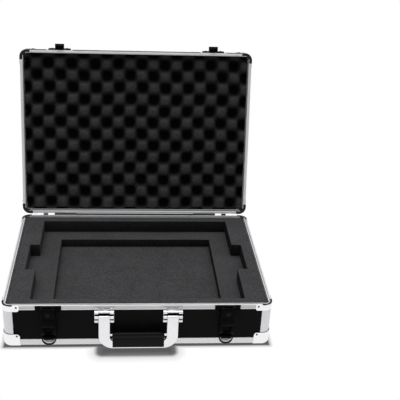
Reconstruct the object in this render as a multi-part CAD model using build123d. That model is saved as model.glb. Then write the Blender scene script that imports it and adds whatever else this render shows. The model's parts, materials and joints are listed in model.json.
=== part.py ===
from build123d import *
import math
import os

# Carrying case for a table-top controller: a hollow base and a lid of laminated panels
# held in aluminium extrusions, lined with cut foam and egg-crate foam. Millimetres.
# X runs left to right, Y front to back and Z up from the floor. The lid stands open.

# Overall sizes
case_width = 460.0
case_depth = 330.0
base_height = 82.0
lid_height = 46.0
corner_radius = 14.0
edge_round = 4.0
stand_height = 2.5
parting_gap = 0.4
lid_open_angle = 103.5

# Walls and extrusions
panel_thickness = 4.5
flange_thickness = 1.2
inner_flange = 1.3
edge_leg = 13.2
edge_inner_leg = 11.0
post_leg = 17.5
rim_height = 8.8
rim_slot_depth = 4.5
rim_bead_height = 2.0
rim_line_width = 0.5
rim_line_depth = 0.4
groove_width = 2.4
groove_depth = 2.2
tongue_side_clearance = 0.3
tongue_end_clearance = 0.4
panel_end_gap = 0.3
wall_thickness = flange_thickness + panel_thickness + inner_flange

# Corner caps and rivets
cap_thickness = 1.0
cap_ear = 28.3
cap_height = 24.0
cap_ear_bevel = 3.5
rim_corner_thickness = 0.8
rim_corner_ear = 29.3
rim_corner_drop = 3.0
rim_corner_bevel = 2.8
rivet_radius = 1.8
rivet_height = 0.7
rivet_bevel = 0.5
rivet_sides = 6
cap_rivet_in = 5.2
cap_rivet_down = 3.8
rim_rivet_in = 4.8
rim_rivet_down = 3.7

# Feet
foot_radius = 8.0
foot_bevel = 0.8
foot_sides = 10
foot_recess_radius = 4.0
foot_recess_depth = 2.0
foot_inset = 45.0
foot_screw_radius = 1.8
foot_screw_head = 3.4
foot_screw_head_height = 1.2
foot_screw_sides = 8
fastener_clearance = 0.2
bore_sides = 12

# Foam
foam_gap = 0.3
foam_below_rim = 2.0
foam_top_thickness = 25.0
foam_middle_thickness = 17.0
pocket_side_wall = 37.7
pocket_end_wall = 16.2
notch_wall = 19.2
notch_length = 89.0
accessory_side_ledge = 36.0
accessory_end_ledge = 31.5
eggcrate_pitch_x = 23.3
eggcrate_pitch_y = 23.6
eggcrate_columns = 20
eggcrate_rows = 15
peak_below_rim = 6.0
pit_below_rim = 24.0
eggcrate_flat_share = 0.42

# Hinges
hinge_inset = 86.0
hinge_width = 44.0
hinge_offset = 2.4
knuckle_radius = 2.2
knuckle_sides = 16
hinge_pin_radius = 1.0
hinge_pin_clearance = 0.06
hinge_leaf_thickness = 1.2
hinge_leaf_height = 20.0
centre_knuckle_width = 14.4
knuckle_gap = 0.3
leaf_edge_clearance = 0.4
hinge_rivet_pitch = 14.3
lug_thickness = 1.6
lug_start = 1.54
lug_reach = 14.0
lug_gap = 0.3
buffer_inset = 46.0
buffer_width = 9.0
buffer_radius = 2.1
buffer_plate_height = 8.0
buffer_plate_thickness = 0.9
buffer_sides = 12

# Carrying handle
bracket_x = 58.0
bracket_width = 33.0
bracket_bottom_drop = 29.7
bracket_top_drop = 4.0
bracket_plate_depth = 2.0
bracket_body_depth = 9.0
ridge_radius = 3.6
ridge_sides = 10
ridge_pitch = 8.0
ridge_setback = 3.0
pivot_web_half_height = 2.88
pivot_drop = 15.4
pivot_depth = 13.0
barrel_radius = 3.4
barrel_sides = 12
handle_pin_radius = 1.5
handle_pin_clearance = 0.06
arm_width = 19.0
arm_thickness = 4.0
arm_side_clearance = 0.3
bail_bottom = 4.0
bail_bar_height = 15.0
bail_outer_radius = 25.0
bail_inner_radius = 8.0
grip_width = 88.0
grip_bottom = 7.3
grip_slab_top = 25.6
grip_slab_thickness = 9.6
grip_ridge_height = 31.0
grip_ridge_radius = 5.0
grip_corner_round = 1.5
grip_neck_inset = 0.8
grip_rod_radius = 1.8
grip_rod_clearance = 0.05
grip_rod_end_radius = 2.4
grip_rod_sides = 8

# Latches
latch_inset = 77.7
latch_plate_width = 44.0
latch_plate_neck = 30.0
latch_plate_thickness = 1.5
latch_shoulder_drop = 9.5
latch_neck_drop = 19.0
latch_plate_end = 3.0
latch_rivet_spacing = 29.0
latch_rivet_drop = 11.5
housing_width = 25.0
housing_wall = 1.4
housing_depth = 13.0
housing_drop = 19.7
housing_front_round = 2.5
slot_width = 14.4
slot_near = 5.6
slot_far = 10.6
bowl_gap = 1.8
bowl_depth = 7.0
bowl_slope_height = 6.0
bowl_flare = 0.5
bay_drop = 38.8
recess_end_wall = 4.0
recess_top_width = 17.0
recess_bottom_width = 10.0
recess_floor = 0.8
recess_round = 4.0
recess_overcut = 1.0
lever_pivot_drop = 23.8
lever_pivot_depth = 7.2
lever_barrel_radius = 3.4
lever_barrel_sides = 10
lever_plate = 2.2
lever_lip_depth = 9.4
lever_lip_bulge = 0.6
lever_lip_height = 3.0
lever_lip_bevel = 0.8
lever_lip_foot = 0.4
lever_back_rise = 4.0
lever_back_step = 0.2
lever_side_clearance = 0.3
lever_end_clearance = 0.6
lever_web = 1.0
lever_web_inset = 0.4
lever_web_foot = 2.0
lever_web_reach = 4.0
lever_pin_radius = 1.1
lever_pin_clearance = 0.06
spring_radius = 1.9
spring_width = 5.4
spring_gap = 0.1
spring_sides = 8
pawl_near = 3.8
pawl_far = 5.6
pawl_nose_far = 7.6
pawl_nose_drop = 4.7
pawl_nose_height = 3.0
pawl_nose_width = 10.0
pawl_clearance = 0.3
key_drop = 11.5
key_radius = 4.2
key_collar = 1.0
key_collar_sides = 12
key_clearance = 0.08
key_proud = 0.3
keyway_width = 1.2
keyway_length = 5.6
keyway_depth = 1.6

# Catch plates on the lid
keeper_width = 44.0
keeper_height = 14.0
keeper_thickness = 3.2
keeper_corner_bevel = 3.5
keeper_edge_bevel = 1.28
hood_width = 17.4
hood_wall = 1.5
hood_height = 9.0
hood_depth = 12.0
hood_front_round = 2.5
tongue_plate_width = 12.0
tongue_plate_near = 8.0
tongue_plate_thickness = 1.8
tongue_plate_reach = 10.0
tongue_plate_root = 1.0
hook_near = 6.1
hook_height = 1.8

# Shoulder-strap rings
ring_wire_radius = 1.25
ring_wire_sides = 8
ring_bend_steps = 12
ring_width = 25.3
ring_bar_height = 19.0
ring_bar_depth = 4.2
ring_drop = 14.5
clip_width = 17.0
clip_half_height = 3.2
clip_depth = 6.9
clip_clearance = 0.08
clip_bevel = 1.2

half_width = case_width / 2
half_depth = case_depth / 2
hinge_x = half_width - hinge_inset
buffer_x = half_width - buffer_inset
latch_x = half_width - latch_inset
pivot_height = base_height - pivot_drop
bracket_bottom = base_height - bracket_bottom_drop
bracket_top = base_height - bracket_top_drop
latch_shoulder_height = base_height - latch_shoulder_drop
latch_neck_height = base_height - latch_neck_drop
latch_rivet_height = base_height - latch_rivet_drop
latch_plate_bottom = ring_bar_height - latch_plate_end
housing_bottom = base_height - housing_drop
bay_bottom = base_height - bay_drop
bowl_bottom = ring_bar_height + clip_half_height + bowl_gap
recess_bottom = bowl_bottom + recess_end_wall
lever_pivot_height = base_height - lever_pivot_drop
pawl_nose_top = base_height - pawl_nose_drop
pawl_nose_bottom = pawl_nose_top - pawl_nose_height
key_height = base_height - key_drop
tongue_plate_bottom = base_height - tongue_plate_reach
hinge_axis_y = half_depth + hinge_offset
hinge_axis_z = base_height + parting_gap / 2
lid_bottom = base_height + parting_gap
lid_top = lid_bottom + lid_height
lift = Pos(0, 0, stand_height)
open_lid = (
    Pos(0, hinge_axis_y, hinge_axis_z) * Rot(X=-lid_open_angle) * Pos(0, -hinge_axis_y, -hinge_axis_z)
)


def block(x_low, x_high, y_low, y_high, z_low, z_high):
    """A box from its lowest to its highest corner."""
    centre = Pos((x_low + x_high) / 2, (y_low + y_high) / 2, (z_low + z_high) / 2)
    return centre * Box(x_high - x_low, y_high - y_low, z_high - z_low)


def prism_x(points, x_low, x_high):
    """An outline of (y, z) points drawn out along X."""
    outline = make_face(Plane.YZ.offset(x_low) * Polyline(*points, close=True))
    return extrude(outline, x_high - x_low, dir=(1, 0, 0))


def prism_y(points, y_low, y_high):
    """An outline of (x, z) points drawn out along Y."""
    outline = make_face(Plane.XZ.offset(-y_low) * Polyline(*points, close=True))
    return extrude(outline, y_high - y_low, dir=(0, 1, 0))


def rod_x(y, z, radius, x_low, x_high):
    """A round bar along X."""
    return Pos((x_low + x_high) / 2, y, z) * Rot(Y=90) * Cylinder(radius, x_high - x_low)


def rod_y(x, z, radius, y_low, y_high):
    """A round bar along Y."""
    return Pos(x, (y_low + y_high) / 2, z) * Rot(X=90) * Cylinder(radius, y_high - y_low)


def flat_bar(radius, sides, length, around=False):
    """A bar up from z = 0 with flat sides, drawn inside a circle or around it."""
    return extrude(RegularPolygon(radius, sides, major_radius=not around), length)


def flat_bar_x(y, z, radius, sides, x_low, x_high, around=False):
    """A flat-sided bar along X."""
    return Pos(x_low, y, z) * Rot(Y=90) * flat_bar(radius, sides, x_high - x_low, around)


def flat_bar_z(x, y, radius, sides, z_low, z_high, around=False):
    """A flat-sided bar along Z."""
    return Pos(x, y, z_low) * flat_bar(radius, sides, z_high - z_low, around)


def front(depth):
    """The Y of a point that stands this far in front of the case's front face."""
    return -half_depth - depth


def front_block(x_low, x_high, near, far, z_low, z_high):
    """A box on the front face, from one depth in front of it to another."""
    return block(x_low, x_high, front(far), front(near), z_low, z_high)


def left_and_right(shape):
    """A shape and its mirror image across the case's middle plane."""
    return [shape, mirror(shape, Plane.YZ)]


def front_and_back(shape):
    """A shape and its mirror image from front to back."""
    return [shape, mirror(shape, Plane.XZ)]


def four_corners(shape):
    """A corner piece and its three mirror images."""
    return [copy for side in left_and_right(shape) for copy in front_and_back(side)]


def place_base(shape):
    """Puts a shape of the base on its feet."""
    return lift * shape


def place_lid(shape):
    """Swings a shape that is drawn on the closed lid to where the lid stands open."""
    return lift * open_lid * shape


def turn_over(shape):
    """Turns a tray that is drawn open side up into the closed lid."""
    return Pos(0, 0, lid_top) * Rot(Y=180) * shape


def write(name, shapes, place):
    """Writes the solids of one sub-part."""
    solids = [solid for shape in shapes for solid in place(shape).solids()]
    export_step(Compound(solids), f"parts/{name}.step")


# Trays: the base and the lid are built alike, open side up, from z = 0 at the bottom edge


def upright_form(height, growth):
    """A tray's form with a sharp bottom edge, grown by some amount on its sides and bottom."""
    width = case_width + 2 * growth
    depth = case_depth + 2 * growth
    body = Pos(0, 0, (height - growth) / 2) * Box(width, depth, height + growth)
    return fillet(body.edges().filter_by(Axis.Z), corner_radius + growth)


def envelope(height):
    """Outer form of a tray, with its rounded bottom edge."""
    body = upright_form(height, 0)
    return fillet(body.edges().group_by(Axis.Z)[0], edge_round)


def cap_form(height, growth):
    """Form of a cap's faces: the rounded edge becomes a bevel that just touches it."""
    body = upright_form(height, growth)
    bevel = (edge_round + growth) * (2 - math.sqrt(2))
    return chamfer(body.edges().group_by(Axis.Z)[0], bevel)


def edge_outline(side):
    """Section of a bottom extrusion: distance from the middle plane, and height."""
    slot_inner = wall_thickness - inner_flange
    section = [
        (0, 0),
        (edge_leg, 0),
        (edge_leg, flange_thickness),
        (wall_thickness, flange_thickness),
        (wall_thickness, edge_inner_leg),
        (slot_inner, edge_inner_leg),
        (slot_inner, wall_thickness),
        (flange_thickness, wall_thickness),
        (flange_thickness, edge_leg),
        (0, edge_leg),
    ]
    return [(inward - side, up) for inward, up in section]


def rim_outline(side, height, has_groove):
    """Section of a rim extrusion, with the groove of the base or the tongue of the lid."""
    slot_inner = wall_thickness - inner_flange
    foot = height - rim_height
    middle = wall_thickness / 2
    if has_groove:
        half = groove_width / 2
        level = height - groove_depth
    else:
        half = groove_width / 2 - tongue_side_clearance
        level = height + groove_depth - tongue_end_clearance
    line_low = foot + rim_bead_height
    line_high = line_low + rim_line_width
    section = [
        (0, foot),
        (flange_thickness, foot),
        (flange_thickness, foot + rim_slot_depth),
        (slot_inner, foot + rim_slot_depth),
        (slot_inner, foot),
        (wall_thickness, foot),
        (wall_thickness, height),
        (middle + half, height),
        (middle + half, level),
        (middle - half, level),
        (middle - half, height),
        (0, height),
        (0, line_high),
        (rim_line_depth, line_high),
        (rim_line_depth, line_low),
        (0, line_low),
    ]
    return [(inward - side, up) for inward, up in section]


def corner_post(height):
    """Upright corner extrusion: a rounded skin and an inner angle that hold the panel ends."""
    low = wall_thickness
    high = height - rim_height
    x0 = -half_width
    y0 = -half_depth
    skin = block(x0, x0 + post_leg, y0, y0 + post_leg, low, high) & upright_form(height, 0)
    inner_form = Box(
        case_width - 2 * flange_thickness, case_depth - 2 * flange_thickness, 3 * height
    )
    bevel = (corner_radius - flange_thickness) * (2 - math.sqrt(2))
    skin -= chamfer(inner_form.edges().filter_by(Axis.Z), bevel)
    inner = wall_thickness - inner_flange
    angle = block(x0 + inner, x0 + post_leg, y0 + inner, y0 + wall_thickness, low, high)
    angle += block(x0 + inner, x0 + wall_thickness, y0 + inner, y0 + post_leg, low, high)
    skin_inset = corner_radius - (corner_radius - flange_thickness) / math.sqrt(2)
    tie = skin_inset - inner_flange / 2
    angle += block(x0 + tie, x0 + wall_thickness, y0 + tie, y0 + wall_thickness, low, high)
    return skin + angle


def ear_region(reach, low, high, bevel, cuts_top):
    """What a corner cap covers: two ears, each cut off at its free corner."""
    length = case_width
    across = block(-half_width - reach, -half_width + reach, -length, length, low, high)
    along = block(-length, length, -half_depth - reach, -half_depth + reach, low, high)
    across_edge = across.edges().filter_by(Axis.Y).sort_by(lambda edge: edge.center().X)
    along_edge = along.edges().filter_by(Axis.X).sort_by(lambda edge: edge.center().Y)
    pick = 1 if cuts_top else 0
    across_edge = across_edge[-2:].sort_by(lambda edge: edge.center().Z)[pick]
    along_edge = along_edge[-2:].sort_by(lambda edge: edge.center().Z)[pick]
    return chamfer(across_edge, bevel) & chamfer(along_edge, bevel)


def corner_cap(height):
    """Pressed cap over a bottom corner, with an ear on each wall."""
    shell = cap_form(height, cap_thickness) - cap_form(height, 0)
    return shell & ear_region(cap_ear, -cap_thickness, cap_height, cap_ear_bevel, True)


def rim_corner(height):
    """Corner casting that joins two rims, with ears over their ends."""
    low = height - rim_height
    reach = corner_radius
    x0 = -half_width
    y0 = -half_depth
    joint = block(x0, x0 + reach, y0, y0 + reach, low, height) & upright_form(height, 0)
    joint -= block(
        x0 + wall_thickness, x0 + reach, y0 + wall_thickness, y0 + reach, low, height
    )
    shell = upright_form(height, rim_corner_thickness) - upright_form(height, 0)
    ears = ear_region(rim_corner_ear, low - rim_corner_drop, height, rim_corner_bevel, False)
    return joint + (shell & ears)


def rivet(x, y, z, axis_turn):
    """A flat-domed rivet head that stands on the point given."""
    foot = RegularPolygon(rivet_radius, rivet_sides)
    top = Pos(0, 0, rivet_height) * RegularPolygon(rivet_radius - rivet_bevel, rivet_sides)
    return Pos(x, y, z) * axis_turn * loft([foot.face(), top.face()], ruled=True)


def front_rivet(x, z, depth):
    """A rivet on a piece of the front face."""
    return rivet(x, front(depth), z, Rot(X=90))


def side_rivet(y, z, proud):
    """A rivet on a piece of the left side."""
    return rivet(-half_width - proud, y, z, Rot(Y=-90))


def corner_rivets(height):
    """The two rivets of a bottom cap and the two of a rim corner, at one corner."""
    cap_in = cap_ear - cap_rivet_in
    cap_z = cap_height - cap_rivet_down
    rim_in = rim_corner_ear - rim_rivet_in
    rim_z = height - rim_rivet_down
    return [
        front_rivet(-half_width + cap_in, cap_z, cap_thickness),
        side_rivet(-half_depth + cap_in, cap_z, cap_thickness),
        front_rivet(-half_width + rim_in, rim_z, rim_corner_thickness),
        side_rivet(-half_depth + rim_in, rim_z, rim_corner_thickness),
    ]


def write_tray(prefix, height, has_groove, place):
    """Writes the panels, extrusions, corner pieces and rivets of one tray."""
    slot_top = height - rim_height + rim_slot_depth
    outer = flange_thickness
    inner = flange_thickness + panel_thickness
    panel_x = half_width - corner_radius - panel_end_gap
    panel_y = half_depth - corner_radius - panel_end_gap
    front_panel = block(
        -panel_x, panel_x, -half_depth + outer, -half_depth + inner, wall_thickness, slot_top
    )
    left_panel = block(
        -half_width + outer, -half_width + inner, -panel_y, panel_y, wall_thickness, slot_top
    )
    floor_x = half_width - wall_thickness
    floor_y = half_depth - wall_thickness
    floor_panel = block(-floor_x, floor_x, -floor_y, floor_y, outer, inner)
    body = envelope(height)
    edge_x = half_width - post_leg
    edge_y = half_depth - post_leg
    long_edge = prism_x(edge_outline(half_depth), -edge_x, edge_x) & body
    short_edge = prism_y(edge_outline(half_width), -edge_y, edge_y) & body
    rim_x = half_width - corner_radius
    rim_y = half_depth - corner_radius
    long_rim = prism_x(rim_outline(half_depth, height, has_groove), -rim_x, rim_x)
    short_rim = prism_y(rim_outline(half_width, height, has_groove), -rim_y, rim_y)
    write(f"{prefix}_floor_panel", [floor_panel], place)
    write(f"{prefix}_front_panel", [front_panel], place)
    write(f"{prefix}_back_panel", [mirror(front_panel, Plane.XZ)], place)
    write(f"{prefix}_side_panels", left_and_right(left_panel), place)
    write(f"{prefix}_long_edges", front_and_back(long_edge), place)
    write(f"{prefix}_short_edges", left_and_right(short_edge), place)
    write(f"{prefix}_long_rims", front_and_back(long_rim), place)
    write(f"{prefix}_short_rims", left_and_right(short_rim), place)
    write(f"{prefix}_corner_posts", four_corners(corner_post(height)), place)
    write(f"{prefix}_corner_caps", four_corners(corner_cap(height)), place)
    write(f"{prefix}_rim_corners", four_corners(rim_corner(height)), place)
    rivets = [copy for head in corner_rivets(height) for copy in four_corners(head)]
    write(f"{prefix}_rivets", rivets, place)


def write_feet():
    """Four rubber feet and the screws that hold them under the floor panel."""
    foot_x = half_width - foot_inset
    foot_y = half_depth - foot_inset
    bottom = -stand_height
    top = flange_thickness
    foot = flat_bar_z(-foot_x, -foot_y, foot_radius, foot_sides, bottom, top)
    foot = chamfer(foot.edges().group_by(Axis.Z)[0], foot_bevel)
    recess_top = bottom + foot_recess_depth
    hole_radius = foot_screw_radius + fastener_clearance
    sides = foot_screw_sides
    foot -= flat_bar_z(-foot_x, -foot_y, foot_recess_radius, sides, bottom, recess_top, True)
    foot -= flat_bar_z(-foot_x, -foot_y, hole_radius, sides, recess_top, top, True)
    head_bottom = recess_top - foot_screw_head_height
    screw = flat_bar_z(-foot_x, -foot_y, foot_screw_head, sides, head_bottom, recess_top)
    screw += flat_bar_z(-foot_x, -foot_y, foot_screw_radius, sides, recess_top, top)
    write("feet", four_corners(foot), place_base)
    write("foot_screws", four_corners(screw), place_base)


# Foam lining


def write_base_foam():
    """Three layers: a frame with the device pocket, one with the accessory pocket, a sheet."""
    x = half_width - wall_thickness - foam_gap
    y = half_depth - wall_thickness - foam_gap
    bottom = flange_thickness + panel_thickness
    top = base_height - foam_below_rim
    middle_top = top - foam_top_thickness
    sheet_top = middle_top - foam_middle_thickness
    top_layer = block(-x, x, -y, y, middle_top, top)
    half_pocket = x - pocket_side_wall
    half_length = y - pocket_end_wall
    top_layer -= block(-half_pocket, half_pocket, -half_length, half_length, middle_top, top)
    notch_x = x - notch_wall
    half_notch = notch_length / 2
    top_layer -= block(-notch_x, notch_x, -half_notch, half_notch, middle_top, top)
    middle_layer = block(-x, x, -y, y, sheet_top, middle_top)
    half_accessory = half_pocket - accessory_side_ledge
    half_reach = half_length - accessory_end_ledge
    middle_layer -= block(
        -half_accessory, half_accessory, -half_reach, half_reach, sheet_top, middle_top
    )
    write("foam_top_layer", [top_layer], place_base)
    write("foam_middle_layer", [middle_layer], place_base)
    write("foam_bottom_sheet", [block(-x, x, -y, y, bottom, sheet_top)], place_base)


def flat_face(*points):
    """A flat face with straight sides."""
    return Face(Wire.make_polygon(points, close=True))


def cell_corners(x, y, share, z):
    """Four points round a cell's middle, at a share of its half sizes."""
    reach_x = share * eggcrate_pitch_x / 2
    reach_y = share * eggcrate_pitch_y / 2
    turns = [(-1, -1), (1, -1), (1, 1), (-1, 1)]
    return [Vector(x + i * reach_x, y + j * reach_y, z) for i, j in turns]


def eggcrate_peak(x, y, level, peak):
    """Five faces: a square top and its four slopes down to the mid level."""
    outer = cell_corners(x, y, 1, level)
    inner = cell_corners(x, y, eggcrate_flat_share, peak)
    faces = [flat_face(*inner)]
    for side in range(4):
        after = (side + 1) % 4
        faces.append(flat_face(outer[side], outer[after], inner[after], inner[side]))
    return faces


def eggcrate_pit(x, y, level, pit):
    """Four slopes from the mid level down to a point."""
    outer = cell_corners(x, y, 1, level)
    return [flat_face(outer[side], outer[(side + 1) % 4], Vector(x, y, pit)) for side in range(4)]


def eggcrate_foam():
    """Convoluted sheet: a checkerboard of blunt peaks and pits, cut to the lid's inside."""
    bottom = flange_thickness + panel_thickness
    peak = lid_height - peak_below_rim
    pit = lid_height - pit_below_rim
    level = (peak + pit) / 2
    far_x = eggcrate_columns * eggcrate_pitch_x / 2
    far_y = eggcrate_rows * eggcrate_pitch_y / 2
    faces = []
    for column in range(eggcrate_columns):
        for row in range(eggcrate_rows):
            x = (column + 0.5) * eggcrate_pitch_x - far_x
            y = (row + 0.5) * eggcrate_pitch_y - far_y
            if (column + row) % 2:
                faces += eggcrate_peak(x, y, level, peak)
            else:
                faces += eggcrate_pit(x, y, level, pit)
    corners = [(-far_x, -far_y), (far_x, -far_y), (far_x, far_y), (-far_x, far_y)]
    low = [Vector(x, y, bottom) for x, y in corners]
    faces.append(flat_face(*low))
    steps = [eggcrate_columns, eggcrate_rows, eggcrate_columns, eggcrate_rows]
    for side in range(4):
        after = (side + 1) % 4
        start = Vector(*corners[side], level)
        end = Vector(*corners[after], level)
        count = steps[side]
        rim = [start + (end - start) * (step / count) for step in range(count + 1)]
        faces.append(flat_face(low[side], *rim, low[after]))
    lattice = Solid(Shell(faces))
    x = half_width - wall_thickness - foam_gap
    y = half_depth - wall_thickness - foam_gap
    return lattice & block(-x, x, -y, y, bottom, peak)


# Hinges, drawn closed


def hinge_leaf(direction):
    """Leaf without knuckles on the back face: direction -1 for the base, 1 for the lid."""
    clear = knuckle_radius + leaf_edge_clearance
    near = hinge_axis_z + direction * clear
    far = hinge_axis_z + direction * hinge_leaf_height
    half = hinge_width / 2
    y = half_depth
    leaf = block(-half, half, y, y + hinge_leaf_thickness, min(near, far), max(near, far))
    step_far = base_height - rim_height if direction < 0 else lid_bottom + rim_height
    pad_low = min(far, step_far)
    pad_high = max(far, step_far)
    return leaf + block(-half, half, y - flange_thickness, y, pad_low, pad_high)


def hinge_knuckle(x_low, x_high, direction):
    """A knuckle with the web that joins it to its leaf."""
    clear = knuckle_radius + leaf_edge_clearance
    end = hinge_axis_z + direction * clear
    y = half_depth
    low = min(hinge_axis_z, end)
    high = max(hinge_axis_z, end)
    web = block(x_low, x_high, y, y + hinge_leaf_thickness, low, high)
    return web + flat_bar_x(
        hinge_axis_y, hinge_axis_z, knuckle_radius, knuckle_sides, x_low, x_high
    )


def stop_lug(x_low, x_high):
    """Gusset on the base leaf whose upper edge carries the lid leaf when the lid is open."""
    tilt = math.radians(lid_open_angle - 90)
    leaf_offset = hinge_offset - hinge_leaf_thickness
    y = half_depth + hinge_leaf_thickness

    def edge_height(reach):
        rise = leaf_offset / math.cos(tilt) - reach * math.tan(tilt)
        return hinge_axis_z + rise - lug_gap / math.cos(tilt)

    points = [
        (y, hinge_axis_z),
        (hinge_axis_y + lug_start, edge_height(lug_start)),
        (hinge_axis_y + lug_reach, edge_height(lug_reach)),
        (hinge_axis_y + lug_reach, edge_height(lug_reach) - lug_thickness),
        (y, hinge_axis_z - hinge_leaf_height + lug_thickness),
    ]
    return prism_x(points, x_low, x_high)


def write_hinges():
    """Leaves, pins, leaf rivets and the two buffers behind the rims."""
    half = hinge_width / 2
    middle = centre_knuckle_width / 2
    base_leaf = hinge_leaf(-1)
    base_leaf += hinge_knuckle(-half, -middle - knuckle_gap, -1)
    base_leaf += hinge_knuckle(middle + knuckle_gap, half, -1)
    base_leaf += stop_lug(-half, -half + lug_thickness)
    base_leaf += stop_lug(half - lug_thickness, half)
    lid_leaf = hinge_leaf(1) + hinge_knuckle(-middle, middle, 1)
    bore_radius = hinge_pin_radius + hinge_pin_clearance
    bore = flat_bar_x(hinge_axis_y, hinge_axis_z, bore_radius, bore_sides, -half, half, True)
    base_leaf -= bore
    lid_leaf -= bore
    pin = rod_x(hinge_axis_y, hinge_axis_z, hinge_pin_radius, -half, half)
    right = Pos(hinge_x, 0, 0)
    write("hinge_base_leaves", left_and_right(right * base_leaf), place_base)
    write("hinge_lid_leaves", left_and_right(right * lid_leaf), place_lid)
    write("hinge_pins", left_and_right(right * pin), place_base)
    rivet_y = half_depth + hinge_leaf_thickness
    rivet_offset = (hinge_leaf_height + knuckle_radius) / 2
    base_rivets = []
    lid_rivets = []
    for share in (-1, 0, 1):
        x = hinge_x + share * hinge_rivet_pitch
        base_rivets.append(rivet(x, rivet_y, hinge_axis_z - rivet_offset, Rot(X=-90)))
        lid_rivets.append(rivet(x, rivet_y, hinge_axis_z + rivet_offset, Rot(X=-90)))
    base_rivets += [mirror(head, Plane.YZ) for head in base_rivets]
    lid_rivets += [mirror(head, Plane.YZ) for head in lid_rivets]
    write("hinge_base_rivets", base_rivets, place_base)
    write("hinge_lid_rivets", lid_rivets, place_lid)
    x_low = buffer_x - buffer_width / 2
    x_high = buffer_x + buffer_width / 2
    buffer = flat_bar_x(hinge_axis_y, hinge_axis_z, buffer_radius, buffer_sides, x_low, x_high)
    buffer += block(
        x_low,
        x_high,
        half_depth,
        half_depth + buffer_plate_thickness,
        hinge_axis_z - buffer_plate_height,
        hinge_axis_z - parting_gap,
    )
    write("rear_buffers", left_and_right(buffer), place_base)


# Carrying handle


def fit_to_front(shape):
    """Cuts a fitting back to the front face: proud of rim and bottom extrusion, flush to the panel."""
    x = half_width
    back = -half_depth + wall_thickness
    shape -= block(-x, x, -half_depth, back, base_height - rim_height, base_height)
    return shape - block(-x, x, -half_depth, back, 0, edge_leg)


def handle_bracket():
    """Cast bracket, centred on x = 0: two cheeks of three ridges, and a bar above the arm."""
    half = bracket_width / 2
    slot = arm_width / 2 + arm_side_clearance
    ridge_back = pivot_depth - ridge_setback
    near = bracket_plate_depth
    plate = front_block(-half, half, -flange_thickness, near, bracket_bottom, bracket_top)
    cheeks = front_block(-half, half, near, bracket_body_depth, bracket_bottom, bracket_top)
    top_z = pivot_height + ridge_pitch
    low_z = pivot_height - ridge_pitch
    for depth, z in ((ridge_back, top_z), (pivot_depth, pivot_height), (ridge_back, low_z)):
        cheeks += flat_bar_x(front(depth), z, ridge_radius, ridge_sides, -half, half)
    web_z = pivot_web_half_height
    cheeks += front_block(-half, half, near, pivot_depth, pivot_height - web_z, pivot_height + web_z)
    bay_top = top_z - ridge_radius
    cheeks -= front_block(-slot, slot, near, 2 * pivot_depth, 0, bay_top)
    bore = handle_pin_radius + handle_pin_clearance
    cheeks -= flat_bar_x(front(pivot_depth), pivot_height, bore, bore_sides, -half, half, True)
    return fit_to_front(plate + cheeks)


def bail_outline():
    """The handle's flat U, as one face on the plane y = 0, from the barrel down."""
    outer = bracket_x + arm_width / 2
    inner = bracket_x - arm_width / 2
    high = pivot_height - bail_bottom
    body = Pos(0, high / 2) * Rectangle(2 * outer, high)
    body = fillet(body.vertices().group_by(Axis.Y)[0], bail_outer_radius)
    hole_height = high - bail_bar_height
    hole = Pos(0, bail_bar_height + hole_height / 2) * Rectangle(2 * inner, hole_height)
    hole = fillet(hole.vertices().group_by(Axis.Y)[0], bail_inner_radius)
    return body - hole


def handle_bail():
    """One flat strap bent into a U, with a barrel at each end for the pivot pins."""
    plane = Plane.XZ.offset(half_depth + pivot_depth - arm_thickness / 2)
    strap = extrude(plane * bail_outline(), arm_thickness, dir=(0, -1, 0))
    strap = Pos(0, 0, bail_bottom) * strap
    x_low = bracket_x - arm_width / 2
    x_high = bracket_x + arm_width / 2
    y = front(pivot_depth)
    barrel = flat_bar_x(y, pivot_height, barrel_radius, barrel_sides, x_low, x_high)
    bail = strap + barrel + mirror(barrel, Plane.YZ)
    bore = handle_pin_radius + handle_pin_clearance
    hole = flat_bar_x(y, pivot_height, bore, bore_sides, x_low, x_high, True)
    return bail - hole - mirror(hole, Plane.YZ)


def handle_grip(bail, rod):
    """Moulded grip round the bar of the bail: a flat slab with a round finger ridge on top."""
    half = grip_width / 2
    near = pivot_depth - grip_slab_thickness / 2
    far = pivot_depth + grip_slab_thickness / 2
    slab = front_block(-half, half, near, far, grip_bottom, grip_slab_top)
    slab = fillet(slab.edges().filter_by(Axis.X).group_by(Axis.Z)[0], grip_corner_round)
    neck_near = near + grip_neck_inset
    neck_far = far - grip_neck_inset
    slab += front_block(-half, half, neck_near, neck_far, grip_slab_top, grip_ridge_height)
    ridge = rod_x(front(pivot_depth), grip_ridge_height, grip_ridge_radius, -half, half)
    return slab + ridge - bail - rod


def write_handle():
    """Brackets, pivot pins, bail, grip and the rod through the grip."""
    bracket = Pos(bracket_x, 0, 0) * handle_bracket()
    half = bracket_width / 2
    pin = rod_x(
        front(pivot_depth), pivot_height, handle_pin_radius, bracket_x - half, bracket_x + half
    )
    bail = handle_bail()
    inner = bracket_x - arm_width / 2
    end = grip_width / 2
    y = front(pivot_depth)
    z = grip_ridge_height
    bore = grip_rod_radius + grip_rod_clearance
    grip = handle_grip(bail, flat_bar_x(y, z, bore, grip_rod_sides, -end, end, True))
    rod = flat_bar_x(y, z, grip_rod_radius, grip_rod_sides, -inner, inner)
    rod += flat_bar_x(y, z, grip_rod_end_radius, grip_rod_sides, end, inner)
    rod += flat_bar_x(y, z, grip_rod_end_radius, grip_rod_sides, -inner, -end)
    write("handle_brackets", left_and_right(bracket), place_base)
    write("handle_pins", left_and_right(pin), place_base)
    write("handle_bail", [bail], place_base)
    write("handle_grip", [grip], place_base)
    write("grip_rod", [rod], place_base)


# Latches, each drawn centred on x = 0


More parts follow.
